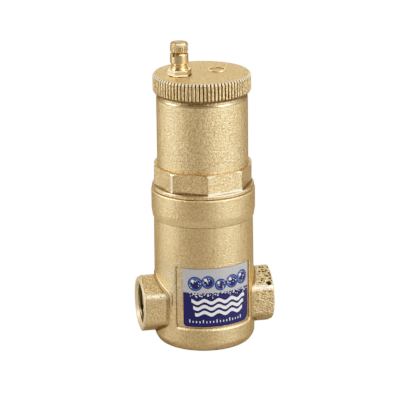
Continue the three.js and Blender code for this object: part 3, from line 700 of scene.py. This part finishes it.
def label_pocket(radius, angle, height):
    """The shallow field that the label lies in."""
    turned = (angle - FRONT + math.pi) % TURN - math.pi
    across = np.abs(turned - (POCKET_FROM + POCKET_TO) / 2)
    sideways = (across - (POCKET_TO - POCKET_FROM) / 2) * POCKET_FLOOR + POCKET_CORNER
    ledge = POCKET_LOW + 0.7 - POCKET_SLOPE * (radius - POCKET_FLOOR)
    upwards = np.maximum(height - POCKET_HIGH, ledge - height) + POCKET_CORNER
    outline = np.hypot(np.maximum(sideways, 0), np.maximum(upwards, 0)) - POCKET_CORNER
    outline += np.minimum(np.maximum(sideways, upwards), 0)
    return np.maximum(outline, POCKET_FLOOR - radius)


COLLAR_LOW, COLLAR_HIGH = 76.2, 84.0
SEAM_OFFSET, SEAM_HALF_WIDTH, SEAM_HEIGHT = 1.9, 0.6, 0.4  # casting seam round the left-hand port
BLOWHOLE = (35.8, -12.8, PORT_Z + 10.0)  # a casting void in the right-hand port
BLOWHOLE_RADIUS = 1.5


def casting(x, y, z):
    radius = np.hypot(x, y)
    angle = np.arctan2(y, x)
    port = hexagonal_port(x, y, z)
    seam = np.exp(-(((port - SEAM_OFFSET) / SEAM_HALF_WIDTH) ** 2)) * np.clip((z - PORT_Z) / 5, 0, 1)
    barrel = body_outside(radius, z) - np.where(x < 0, SEAM_HEIGHT * seam, 0)
    shape = blend_union(barrel, port, PORT_FILLET)
    shape = blend_meet(shape, -label_pocket(radius, angle, z), 0.2)
    shape = np.maximum(shape, -body_inside(radius, z))
    bore = np.hypot(y, z - PORT_Z) - BORE_RADIUS
    void = np.hypot(np.hypot(x - BLOWHOLE[0], y - BLOWHOLE[1]), z - BLOWHOLE[2]) - BLOWHOLE_RADIUS
    return np.maximum(shape, -np.minimum(bore, void))


CORNER_UP = PORT_ACROSS_FLATS / 2 * math.tan(math.pi / 6)  # of a side corner, over the pipe axis


def body_finish(x, y, z, upness):
    """The blowhole in painted shade, the barrel with its collar, then the ports' painted highlight strips,
    lit tops and the rest.
    """
    if math.dist((x, y, z), BLOWHOLE) < BLOWHOLE_RADIUS + 0.15:
        return BLOWHOLE_SHADE
    if abs(x) < 27 or math.hypot(x, y) < 30.5:
        return COLLAR_CAST if COLLAR_LOW < z < COLLAR_HIGH else BODY_CAST
    highlight = 1.7 if x > 0 else 0.6  # half the width of the painted highlight strip along the corner
    if abs(z - PORT_Z - CORNER_UP) < highlight and abs(x) < PORT_FACE_X - 0.8:
        return CORNER_HIGHLIGHT_CAST
    # The ports' upward faces are painted lighter, as lit; the outlet's top also has real pits.
    if upness > 0.3:
        return INLET_TOP_LIT if x < 0 else OUTLET_TOP_LIT
    return BODY_CAST if x < 0 else OUTLET_CAST


body_grid = [
    spaced(-PORT_FACE_X - 1, PORT_FACE_X + 1, (-PORT_FACE_X, -BARREL_SIDE, BARREL_SIDE, PORT_FACE_X)),
    spaced(-31.5, 31.5),
    spaced(-1, BODY_TOP + 1, (POCKET_LOW, POCKET_HIGH, COLLAR_EDGE, BODY_TOP)),
]
body = mesh_field("body_shell", casting, body_grid, "separator", body_finish)
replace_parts(body, "body_casting")


# ---- port threads
THREAD_PITCH = 1.814  # G 3/4
THREAD_DEPTH = 1.16
THREAD_CORE = 12.1
THREAD_LENGTH = 13.5


def port_thread(name, side):
    """A threaded liner with the port's machined end ring, made upright and laid on the pipe axis."""
    inner_end = PORT_FACE_X - THREAD_LENGTH
    mouth = PORT_FACE_X - 1.7
    thread = threaded(THREAD_PITCH, THREAD_DEPTH, fade_low=inner_end)
    profile = [
        (13.06, inner_end), (13.06, PORT_FACE_X - 0.6), (15.6, PORT_FACE_X - 0.6),
        (15.75, PORT_FACE_X - 0.3, 0.15), (15.2, PORT_FACE_X, 0.2), (13.0, PORT_FACE_X, 0.12),
        (THREAD_CORE, mouth + 0.1, 0.1),
        *stretch(mouth, inner_end + 0.3, THREAD_PITCH / 9, THREAD_CORE - 0.2, thread),
        (12.6, inner_end),
    ]

    def finish(x, y, z, upness):
        # Deeper than the mouth, the thread is painted dark as shade.
        return BORE_SHADE if z < mouth else PORT_RING if upness > 0.8 else PORT_MOUTH

    piece = revolve(name, profile, 144, "separator", finish)
    crisp(piece, 40)
    for vertex in piece.data.vertices:
        x, y, z = vertex.co
        vertex.co = (side * z, side * y, x + PORT_Z * MM)
    if signed_volume(piece.data) < 0:
        piece.data.flip_normals()
    return piece


port_thread("inlet_thread", -1)
port_thread("outlet_thread", 1)


# ---- float chamber
OCTAGON_LOW, OCTAGON_HIGH = 95.6, 107.8
OCTAGON_RADIUS = 28.75
OCTAGON_CORNER = math.radians(-96.4)
# The corner that gets a painted highlight line.
HIGHLIGHT_CORNER = OCTAGON_CORNER - TURN / 8
OCTAGON_FLARE = 1.0  # under the face painted bright as a highlight, and less under the other seven
SMALL_FLARE = 0.3
OCTAGON_CHAMFER = 1.9
CHAMBER_RADIUS = 26.5
BAND_LOW, BAND_HIGH = 146.7, 149.4
FLANGE_LOW = 93.3
octagon = polygonal(8, OCTAGON_CORNER, 120)
chamber_thread = threaded(1.5, 0.75, BAND_HIGH + 0.4, CHAMBER_TOP - 0.4)
spigot_thread = threaded(1.5, 0.7, CHAMBER_BOTTOM + 0.8, FLANGE_LOW - 1.2)


def on_highlight_face(angles):
    return (angles - OCTAGON_CORNER) % TURN < TURN / 8


def foot_outline(share):
    """The octagon's outline part of the way up its foot."""

    def section(angles, radius, height):
        flare = np.where(on_highlight_face(angles), OCTAGON_FLARE, SMALL_FLARE) * (1 - share)
        return np.minimum(octagon(angles, radius + flare, height), 29.2)

    return section


octagon_foot = []
for share in (0, 0.25, 0.5, 0.75, 1):
    outline = foot_outline(share) if share < 1 else octagon
    height = OCTAGON_LOW + 0.03 + OCTAGON_FLARE * share
    octagon_foot.append((OCTAGON_RADIUS, height, 0, outline))
octagon_chamfer = []
for share in np.linspace(0, 1, 9):
    cone = clipped(octagon, CHAMBER_RADIUS + 0.02, OCTAGON_RADIUS - OCTAGON_CHAMFER * share)
    height = OCTAGON_HIGH - OCTAGON_CHAMFER * (1 - share)
    octagon_chamfer.append((OCTAGON_RADIUS, height, 0, cone))
chamber_profile = [
    (22.5, CHAMBER_BOTTOM, 0.3), (24.6, CHAMBER_BOTTOM, 0.3), (24.9, CHAMBER_BOTTOM + 0.5),
    *stretch(CHAMBER_BOTTOM + 0.6, FLANGE_LOW - 1.2, 0.2, 24.9, spigot_thread),
    (24.9, FLANGE_LOW, 0.2), (29.35, FLANGE_LOW, 0.15), (29.7, FLANGE_LOW + 0.4, 0.2),
    (29.7, OCTAGON_LOW - 0.4, 0.25), (29.3, OCTAGON_LOW, 0.2), *octagon_foot,
    (OCTAGON_RADIUS, OCTAGON_HIGH - OCTAGON_CHAMFER - 0.2, 0, octagon), *octagon_chamfer,
    (CHAMBER_RADIUS, OCTAGON_HIGH + 0.03, 0.2), (CHAMBER_RADIUS, 120), (CHAMBER_RADIUS, 134),
    (CHAMBER_RADIUS, BAND_LOW, 0.12), (26.15, BAND_LOW + 0.03, 0.05),
    (26.15, BAND_LOW + 0.22, 0.05), (26.42, BAND_LOW + 0.27, 0.1), (26.3, BAND_LOW + 1.3, 1.5),
    (25.8, BAND_HIGH, 0.3), (24.0, BAND_HIGH, 0.2),
    *stretch(BAND_HIGH + 0.3, CHAMBER_TOP - 0.5, 0.18, 23.5, chamber_thread),
    (23.4, CHAMBER_TOP, 0.2), (22.5, CHAMBER_TOP, 0.2),
]


def chamber_finish(x, y, height, upness):
    radius = math.hypot(x, y)
    # The band under the lid: a bright turned line, with painted shade above and below it.
    if BAND_LOW < height < BAND_HIGH:
        return TURNED if 0.25 < height - BAND_LOW < 0.95 else GROOVE_SHADE
    if height > BAND_LOW or height < FLANGE_LOW or radius < CHAMBER_RADIUS - 0.6:
        return TURNED
    # Flat ledges get painted shade.
    if upness > 0.95:
        return LEDGE_SHADE
    on_highlight = on_highlight_face(math.atan2(y, x))
    # The foot under the other seven faces gets painted shade.
    if OCTAGON_LOW < height < OCTAGON_LOW + 0.5 and not on_highlight:
        return GROOVE_SHADE
    # Bevels: a painted highlight on the one face, and painted shade next to the cylinder.
    if upness > 0.1 and height < OCTAGON_HIGH + 0.1:
        bevel = HIGHLIGHT_BRASS if on_highlight else CHAMFER
        return bevel if radius > CHAMBER_RADIUS + 0.35 else GROOVE_SHADE
    # A painted highlight runs down one corner.
    from_corner = abs(math.atan2(y, x) - HIGHLIGHT_CORNER) * radius
    return HIGHLIGHT_BRASS if OCTAGON_LOW < height < OCTAGON_HIGH and from_corner < 0.5 else CAST


chamber = revolve("chamber_shell", chamber_profile, 480, "separator", chamber_finish)
crisp(chamber, 38)
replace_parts(chamber, "float_chamber")


# ---- lid
LID_RADIUS = 28.4
LID_RIBS = 82
LID_GROOVE = 27.6
LID_ROOF = 157.2
RIM_CHAMFER = 1.0
lid_knurl = knurled(LID_RIBS, LID_GROOVE, 0.5, LID_TOP - 2.2, 0.8)
lid_thread = threaded(1.5, -0.7, LID_BOTTOM + 0.8, LID_ROOF - 1.2)
lid_profile = [
    (0, LID_ROOF), (25.0, LID_ROOF, 0.2),
    *stretch(LID_ROOF - 0.8, LID_BOTTOM + 0.8, 0.2, 25.3, lid_thread), (25.4, LID_BOTTOM, 0.2),
    (26.95, LID_BOTTOM, 0.25, lid_knurl), (27.45, LID_BOTTOM + 0.55, 0, lid_knurl),
    (27.8, LID_BOTTOM + 0.95, 0, lid_knurl), (28.1, LID_BOTTOM + 1.35, 0, lid_knurl),
    (LID_RADIUS, LID_BOTTOM + 1.85, 0.4, lid_knurl), (LID_RADIUS, LID_TOP - 2.2, 0, lid_knurl),
    (LID_RADIUS, LID_TOP - 1.6, 0, lid_knurl),
    (LID_RADIUS, LID_TOP - RIM_CHAMFER, 0.1, lid_knurl),
    (LID_RADIUS - 0.9 * RIM_CHAMFER, LID_TOP - 0.1, 0.1, lid_knurl),
    (27.2, LID_TOP, 0.1, lid_knurl), (26.9, LID_TOP), (18, LID_TOP), (9, LID_TOP), (0, LID_TOP),
]


def lid_finish(x, y, height, upness):
    radius = math.hypot(x, y)
    if radius < 26.5 and height < LID_TOP - 1:
        return TURNED_DULL
    # The knurl's groove walls and floors get painted shade.
    if LID_BOTTOM + 0.3 < height < LID_TOP - 0.15 and radius < LID_RADIUS - 0.35 and upness < 0.6:
        return GROOVE_SHADE
    if radius > 26.5 and height < LID_TOP - RIM_CHAMFER - 0.1:
        return CAST
    # The rim's chamfer at the rib tips gets a painted highlight.
    return HIGHLIGHT_BRASS if radius > 27.1 else LID_CAST


lid = revolve("lid_shell", lid_profile, LID_RIBS * 10, "lid", lid_finish)
crisp(lid, 45)
bored(lid, VALVE_X, VALVE_Y, 4.2, LID_ROOF - 2, LID_TOP + 2)
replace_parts(lid, "lid")

MARK_X, MARK_Y = 9.8, 3.8
mark_profile = [
    (4.0, LID_TOP - 0.3), (5.6, LID_TOP - 0.3), (5.3, LID_TOP + 0.5, 0.2),
    (4.3, LID_TOP + 0.5, 0.2),
]


def mark_finish(x, y, z, upness):
    # Inside the ring is painted shade.
    return GROOVE_SHADE if math.hypot(x - MARK_X, y - MARK_Y) < 4.35 else LID_RIM


revolve("lid_mark", mark_profile, 72, "lid", mark_finish, (MARK_X, MARK_Y))


# ---- vent valve and its cap
HEX_CORNER = math.radians(-2.5)
HEX_RADIUS = 7.27
HEX_LOW = 161.2
BARREL_RADIUS = 5.35
BARREL_TOP = 174.0
NOTCH_ANGLE = math.radians(-142.5)
valve_hex = polygonal(6, HEX_CORNER, 160)
cap_thread = threaded(1.0, 0.45, BARREL_TOP + 0.4, VALVE_TOP - 0.3)
spigot_valve_thread = threaded(1.0, 0.4, VALVE_BOTTOM + 0.3, HEX_LOW - 0.6)


def notched(angles, radius, height):
    """The barrel's outline with the air outlet cut into one side."""
    away = np.abs((angles - NOTCH_ANGLE + math.pi) % TURN - math.pi) * radius
    cut = np.clip((1.15 - away) / 0.25, 0, 1)
    return radius - cut * max(0, radius - 3.7)


valve_profile = [
    (2.6, VALVE_BOTTOM, 0.1), (3.3, VALVE_BOTTOM, 0.2),
    *stretch(VALVE_BOTTOM + 0.4, HEX_LOW - 0.6, 0.12, 3.45, spigot_valve_thread),
    (3.9, HEX_LOW, 0.1), (HEX_RADIUS + 0.1, HEX_LOW, 0.05, valve_hex),
    (HEX_RADIUS + 0.1, HEX_LOW + 0.3, 0.05, valve_hex),
    (HEX_RADIUS - 0.2, HEX_LOW + 0.75, 0.05, valve_hex),
    (HEX_RADIUS - 0.2, HEX_LOW + 2.8, 0.25, valve_hex), (6.75, HEX_LOW + 3.25, 0.2, valve_hex),
    (5.2, HEX_LOW + 3.3, 0.1), (5.0, HEX_LOW + 4.0, 0.3), (4.4, HEX_LOW + 4.5, 0.4),
    (4.4, HEX_LOW + 6.1, 0.5), (BARREL_RADIUS, HEX_LOW + 7.1, 0.4),
    (BARREL_RADIUS, BARREL_TOP - 1.75), (BARREL_RADIUS, BARREL_TOP - 1.6, 0, notched),
    (BARREL_RADIUS, BARREL_TOP - 0.7, 0.3, notched), (4.75, BARREL_TOP, 0.2, notched),
    (3.35, BARREL_TOP, 0.1), *stretch(BARREL_TOP + 0.3, VALVE_TOP - 0.3, 0.12, 3.1, cap_thread),
    (2.9, VALVE_TOP, 0.2), (1.0, VALVE_TOP, 0.1), (1.0, 163.3), (2.6, 163.3),
]


def valve_finish(x, y, height, upness):
    radius = math.hypot(x - VALVE_X, y - VALVE_Y)
    # The air outlet notch is painted shade.
    if BARREL_TOP - 1.7 < height < BARREL_TOP and radius < BARREL_RADIUS - 0.4 and abs(upness) < 0.5:
        return GROOVE_SHADE
    # The hexagon and the faces that look down get the paler chamfer brass; on the downward faces it is
    # painted light.
    if HEX_LOW < height < HEX_LOW + 3.4 or upness < -0.3 and height < BARREL_TOP:
        return CHAMFER
    return VALVE_BRASS


VALVE_PLACE = (VALVE_X, VALVE_Y)
valve = revolve("vent_valve", valve_profile, 288, "lid", valve_finish, VALVE_PLACE)
crisp(valve, 35)
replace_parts(valve, "valve_body")

CAP_RADIUS = 5.35
CAP_HIGHLIGHT_ANGLE, CAP_HIGHLIGHT_HALF = math.radians(-88), math.radians(32)
cap_knurl = knurled(32, 4.95, 0.6)
cap_profile = [
    (0, 179.0), (3.85, 179.0, 0.1), (3.85, CAP_BOTTOM, 0.1), (4.85, CAP_BOTTOM, 0.15),
    (CAP_RADIUS, CAP_BOTTOM + 0.5, 0.2, cap_knurl),
    (CAP_RADIUS, CAP_BOTTOM + 2.2, 0, cap_knurl), (CAP_RADIUS, CAP_TOP - 1.75, 0.15, cap_knurl),
    (4.98, CAP_TOP - 1.45, 0.15), (5.1, CAP_TOP - 0.9, 0.1), (4.7, CAP_TOP - 0.15, 0.1),
    (2.5, CAP_TOP, 0.1), (0, CAP_TOP),
]


def cap_finish(x, y, height, upness):
    if height < CAP_TOP - 0.95 or upness < 0.1:
        return CAP_BRASS
    # A painted highlight on the front part of the top edge, and painted shade on the top.
    highlight = abs(math.atan2(y - VALVE_Y, x - VALVE_X) - CAP_HIGHLIGHT_ANGLE) < CAP_HIGHLIGHT_HALF
    return HIGHLIGHT_BRASS if height < CAP_TOP - 0.1 and highlight else CAP_TOP_SHADE


cap = revolve("cap_shell", cap_profile, 384, "vent_cap", cap_finish, VALVE_PLACE)
crisp(cap, 40)
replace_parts(cap, "vent_cap")


# ---- label
FILM_RADIUS = 28.62
FILM_THICKNESS = 0.12
LABEL_FROM = math.radians(-38) * FILM_RADIUS  # arc lengths from the front, positive towards +X
LABEL_TO = math.radians(48.5) * FILM_RADIUS
SPLIT = 37.0  # height where silver meets dark blue
random = np.random.default_rng(7)


def patch(across, low, high, rows):
    """One printed shape: the arc lengths along it, and its lower and upper edge at each of them."""
    across = np.asarray(across, dtype=float)
    return across, np.broadcast_to(low, across.shape), np.broadcast_to(high, across.shape), rows


def disc(across, height, radius, steps=14):
    turn = np.linspace(0.1, math.pi - 0.1, steps)
    half = radius * np.sin(turn)
    return patch(across - radius * np.cos(turn), height - half, height + half, 2)


def film(name, patches, lift, material):
    """Thin closed films on the label's round, lifted off it a little."""
    vertices, faces = [], []
    for across, low, high, rows in patches:
        columns = len(across)
        angles = FRONT + np.concatenate([across, across[::-1]]) / FILM_RADIUS
        radii = np.repeat([FILM_RADIUS + lift, FILM_RADIUS + lift - FILM_THICKNESS], columns)
        rings = []
        for share in np.linspace(0, 1, rows + 1):
            level = low + (high - low) * share
            rings.append(list(range(len(vertices), len(vertices) + 2 * columns)))
            vertices += zip(radii * np.cos(angles), radii * np.sin(angles), [*level, *level[::-1]])
        faces += skin(rings)
        for ring in (rings[0][::-1], rings[-1]):
            faces += [[ring[k], ring[k + 1], ring[-k - 2], ring[-k - 1]] for k in range(columns - 1)]
    piece = add_object(name, vertices, faces, "separator", material)
    crisp(piece, 40)
    return piece


def corner_rise(across, radius_left, radius_right):
    """How far a label edge moves in at its two rounded corners."""
    rise = np.zeros_like(across)
    for distance, radius in ((across - LABEL_FROM, radius_left), (LABEL_TO - across, radius_right)):
        inside = np.clip(radius - distance, 0, radius)
        rise += radius - np.sqrt(radius * radius - inside * inside)
    return rise


along_label = LABEL_FROM + (LABEL_TO - LABEL_FROM) * (1 - np.cos(np.linspace(0, math.pi, 90))) / 2
label_bottom = LABEL_BOTTOM + corner_rise(along_label, 2.2, 4.2)
label_top = LABEL_TOP - corner_rise(along_label, 0.4, 0.9)
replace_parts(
    film("label_silver_film", [patch(along_label, SPLIT, label_top, 10)], 0, SILVER_INK),
    "label_plate",
)
film("label_navy_film", [patch(along_label, label_bottom, SPLIT, 12)], 0, NAVY_INK)

BUBBLES = 5
bubbles = []
for number in range(BUBBLES):
    across = LABEL_FROM + 7.4 + number * (LABEL_TO - LABEL_FROM - 13.2) / (BUBBLES - 1)
    bubbles.append((across, 42.6 + 1.1 * math.sin(number * 2.1), 4.0 + 0.4 * math.cos(number * 1.7)))
film("label_bubble_rims", [disc(*bubble, 28) for bubble in bubbles], 0.03, NAVY_INK)
film("label_bubble_rings", [disc(s, z, r - 0.6, 28) for s, z, r in bubbles], 0.05, BLUE_INK)
film("label_bubble_cores", [disc(s + 0.3, z - 0.3, r - 1.5, 26) for s, z, r in bubbles], 0.07, NAVY_INK)
foam = [disc(s - 0.34 * r, z + 0.36 * r, 0.2 * r) for s, z, r in bubbles]
for s, z, r in bubbles:
    for _ in range(12):
        turn, out = random.uniform(0, TURN), random.uniform(0.1, 0.8) * r
        foam.append(disc(s + out * math.cos(turn), z + out * math.sin(turn), random.uniform(0.14, 0.28), 9))
for _ in range(70):
    across = random.uniform(LABEL_FROM + 3, LABEL_TO - 1.5)
    height = SPLIT - 0.2 - abs(random.normal(0, 1.3))
    foam.append(disc(across, height, random.uniform(0.18, 0.36), 9))
film("label_foam", foam, 0.09, WHITE_INK)

WAVE_HEIGHTS = (31.6, 28.0, 24.4)
waves = []
for number, height in enumerate(WAVE_HEIGHTS):
    wave_run = np.linspace(LABEL_FROM + 5.2 + number, LABEL_TO - 3.8 - number, 120)
    middle = height + 0.85 * np.sin(wave_run * TURN / 8.4)
    waves.append(patch(wave_run, middle - 0.95, middle + 0.95, 2))
film("label_waves", waves, 0.03, WHITE_INK)
ticks = []
for number in range(17):
    across = LABEL_FROM + 4 + number * 2.0
    tall = 1.9 if number % 4 == 0 else 1.1
    ticks.append(patch([across - 0.22, across + 0.22], 18.6, 18.6 + tall, 2))
film("label_scale_marks", ticks, 0.03, WHITE_INK)


# ---- inner pieces
def tube(points, radius, sides, closed):
    """Vertices and faces of a round wire along points, flat-ended unless it closes on itself."""
    points = np.asarray(points, dtype=float)
    count = len(points)
    if closed:
        ahead = np.roll(points, -1, axis=0) - np.roll(points, 1, axis=0)
    else:
        ahead = np.gradient(points, axis=0)
    ahead /= np.linalg.norm(ahead, axis=1, keepdims=True)
    outwards = points * (1, 1, 0) - points.mean(axis=0) * (1, 1, 0)
    if np.linalg.norm(outwards, axis=1).min() < 1e-6:
        outwards = points * (1, 1, 0) + (1e-3, 0, 0)
    side = np.cross(ahead, outwards)
    side /= np.linalg.norm(side, axis=1, keepdims=True)
    across = np.cross(side, ahead)
    turn = np.arange(sides) * TURN / sides
    ring = np.cos(turn)[None, :, None] * side[:, None, :] + np.sin(turn)[None, :, None] * across[:, None, :]
    vertices = (points[:, None, :] + radius * ring).reshape(-1, 3)
    rings = np.arange(count * sides).reshape(count, sides).tolist()
    if closed:
        return vertices, skin([*rings, rings[0]])
    return vertices, [rings[0][::-1], *skin(rings), rings[-1]]


def wires(name, runs, radius, sides, body, material):
    """Several wires joined as one piece. Each run is (points, closed)."""
    vertices, faces = [], []
    for points, closed in runs:
        more, more_faces = tube(points, radius, sides, closed)
        faces += [[index + len(vertices) for index in face] for face in more_faces]
        vertices += more.tolist()
    return add_object(name, vertices, faces, body, material)


def circle(radius, height, steps):
    angles = np.arange(steps) * TURN / steps
    return np.stack([radius * np.cos(angles), radius * np.sin(angles), np.full(steps, height)], axis=1)


def o_ring(name, radius, wire, height, body, node):
    ring = wires(name, [(circle(radius, height, 128), True)], wire, 16, body, RUBBER)
    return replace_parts(ring, node)


o_ring("chamber_seal", 27.1, 0.9, 92.1, "separator", "chamber_o_ring")
o_ring("lid_seal_ring", 23.35, 0.75, 156.3, "lid_seal", "lid_o_ring")

gasket_profile = [
    (4.4, GASKET_BOTTOM, 0.15), (6.0, GASKET_BOTTOM, 0.2), (6.0, GASKET_TOP, 0.2),
    (4.4, GASKET_TOP, 0.15),
]
gasket = revolve("valve_seal", gasket_profile, 96, "lid", RUBBER, VALVE_PLACE)
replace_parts(gasket, "valve_gasket")

SLEEVE_RADIUS = 19.3
WIRE = 0.3
sleeve_runs = []
for height in np.linspace(SLEEVE_BOTTOM + WIRE, SLEEVE_TOP - WIRE, 23):
    sleeve_runs.append((circle(SLEEVE_RADIUS, height, 96), True))
for angle in np.arange(60) * TURN / 60:
    foot = ((SLEEVE_RADIUS + 0.35) * math.cos(angle), (SLEEVE_RADIUS + 0.35) * math.sin(angle))
    run = [(*foot, height) for height in np.linspace(SLEEVE_BOTTOM, SLEEVE_TOP, 5)]
    sleeve_runs.append((run, False))
sleeve = wires("separator_wire_sleeve", sleeve_runs, WIRE, 6, "separator", STEEL)
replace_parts(sleeve, "separator_mesh")

float_profile = [
    (1.4, FLOAT_BOTTOM, 0.2), (5, FLOAT_BOTTOM, 0.5), (6, FLOAT_BOTTOM + 2, 0.8),
    (14, FLOAT_BOTTOM + 2, 0.8), (15, FLOAT_BOTTOM, 0.5), (19, FLOAT_BOTTOM, 2),
    (19, FLOAT_BOTTOM + 26, 3), (17, FLOAT_BOTTOM + 29.6, 4), (6, FLOAT_BOTTOM + 33, 1),
    (2.4, FLOAT_BOTTOM + 33, 0.4), (2.4, FLOAT_BOTTOM + 35.6, 0.1),
    (4.6, FLOAT_BOTTOM + 35.6, 0.2), (4.6, FLOAT_BOTTOM + 36.4, 0.2),
    (2.4, FLOAT_BOTTOM + 36.4, 0.1), (2.4, FLOAT_TOP - 0.8, 0.1), (4.6, FLOAT_TOP - 0.8, 0.2),
    (4.6, FLOAT_TOP, 0.2), (1.4, FLOAT_TOP, 0.2),
]
float_piece = revolve("float_shell", float_profile, 128, "float", POLYPROPYLENE)
crisp(float_piece, 40)
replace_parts(float_piece, "float")

SPRING_WIRE = 0.25
SPRING_TURNS = 5
spring_low, spring_high = SPRING_BOTTOM + SPRING_WIRE, SPRING_TOP - SPRING_WIRE
coil = []
for step in range(SPRING_TURNS * 24 + 1):
    share = step / (SPRING_TURNS * 24)
    angle = share * SPRING_TURNS * TURN
    rise = spring_low + (spring_high - spring_low) * share
    coil.append((VALVE_X + 1.9 * math.cos(angle), VALVE_Y + 1.9 * math.sin(angle), rise))
spring = wires("vent_spring_coil", [(coil, False)], SPRING_WIRE, 8, "lid", STEEL)
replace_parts(spring, "vent_spring")
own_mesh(spring)

CARRIED_OVER = (
    (NYLON, "separator_cage flow_baffle stem_guide"), (RUBBER, "stem_seal cap_seal"),
    (TURNED, "bracket_nut"),
    (STEEL, "vent_stem spring_clip lever_bracket lever_pin pin_clip_left pin_clip_right float_lever"),
    (STEEL, "guide_rod rod_clip"),
)
for material, names in CARRIED_OVER:
    for name in names.split():
        piece = frame["nodes"][name]
        piece.data.materials.clear()
        piece.data.materials.append(material)


# ---- camera
AIM = Vector((0, 0, 85)) * MM
CAMERA_DISTANCE = 1395 * MM
CAMERA_TURN = math.radians(12.5)  # towards -X from straight in front of the label
CAMERA_RISE = math.radians(17.6)
CAMERA_ROLL = math.radians(-0.7)


def direction(turn, rise):
    """Unit vector from the aim towards a point turned from the front towards +X, and raised."""
    flat = math.cos(rise)
    return Vector((math.sin(turn) * flat, -math.cos(turn) * flat, math.sin(rise)))


def aimed(thing, towards, distance, roll=0):
    """Puts a camera or a lamp this far out from the aim, looking back at it."""
    thing.location = AIM + towards * distance
    thing.rotation_mode = "QUATERNION"
    thing.rotation_quaternion = (-towards).to_track_quat("-Z", "Y") @ Quaternion((0, 0, 1), roll)


camera_data = bpy.data.cameras.new("camera")
camera_data.sensor_width = 36
camera_data.lens = 215.7
camera_data.shift_x = -0.008
camera_data.shift_y = -0.0027
camera_data.clip_end = 50
camera = in_scene("camera", camera_data)
aimed(camera, direction(-CAMERA_TURN, CAMERA_RISE), CAMERA_DISTANCE, CAMERA_ROLL)
bpy.context.scene.camera = camera


# ---- floor, light and background
def softbox(name, turn, rise, distance, width, height, watts):
    """A soft light, turned round from the camera's side (positive to the right) and raised."""
    data = bpy.data.lights.new(name, "AREA")
    data.shape = "RECTANGLE"
    data.size, data.size_y = width, height
    data.energy = watts
    lamp = in_scene(name, data)
    lamp.visible_camera = False
    aimed(lamp, direction(math.radians(turn) - CAMERA_TURN, math.radians(rise)), distance)


# name, turn, rise, distance, width, height, watts
softbox("left_core", -82, 16, 0.8, 0.46, 1.0, 3.8)
softbox("left_panel", -96, 20, 0.95, 1.5, 1.2, 2.2)
softbox("right_core", 57, 14, 0.9, 0.58, 0.9, 4.6)
softbox("right_panel", 84, 16, 1.05, 1.6, 1.0, 2.9)
softbox("overhead_softbox", 62, 62, 0.9, 0.8, 0.5, 1.3)
softbox("front_strip", 25, 43, 0.9, 0.5, 0.26, 0.5)
softbox("backdrop", 180, 20, 1.5, 1.2, 0.8, 2.4)


def camera_only(tree, output, seen, other):
    """Ends a node tree in two shaders: one for the camera, and one for the rest of the light."""
    mix = tree.nodes.new("ShaderNodeMixShader")
    path = tree.nodes.new("ShaderNodeLightPath")
    tree.links.new(path.outputs["Is Camera Ray"], mix.inputs["Fac"])
    tree.links.new(other.outputs[0], mix.inputs[1])
    tree.links.new(seen.outputs[0], mix.inputs[2])
    tree.links.new(mix.outputs["Shader"], tree.nodes[output].inputs["Surface"])


world = bpy.data.worlds.new("studio")
world.use_nodes = True
bpy.context.scene.world = world
plain = world.node_tree.nodes["Background"]
plain.inputs["Color"].default_value = (0.115, 0.094, 0.066, 1)
white = world.node_tree.nodes.new("ShaderNodeBackground")
white.inputs["Color"].default_value = (1, 1, 1, 1)
camera_only(world.node_tree, "World Output", white, plain)

FLOOR_REACH = 20000
floor_corners = [(x * FLOOR_REACH, y * FLOOR_REACH, 0) for x, y in ((-1, -1), (1, -1), (1, 1), (-1, 1))]
floor = in_scene("floor", mesh_of("floor", floor_corners, [(0, 1, 2, 3)]))
floor_material = bpy.data.materials.new("pale_floor")
floor_material.use_nodes = True
floor_nodes = floor_material.node_tree.nodes
floor_shader = floor_nodes["Principled BSDF"]
floor_shader.inputs["Base Color"].default_value = (0.33, 0.33, 0.33, 1)
floor_shader.inputs["Roughness"].default_value = 0.9
glow = floor_nodes.new("ShaderNodeEmission")
camera_only(floor_material.node_tree, "Material Output", glow, floor_shader)
floor.data.materials.append(floor_material)

# A soft shoulder towards white, like a bright product photograph's.
SHOULDER = 2.0
view = bpy.context.scene.view_settings
view.view_transform = "Standard"
view.use_curve_mapping = True
tone_curve = view.curve_mapping.curves[3]
for light in (0.04, 0.1, 0.2, 0.35, 0.55, 0.75):
    tone_curve.points.new(light, (1 + SHOULDER) * light / (1 + SHOULDER * light))
view.curve_mapping.update()
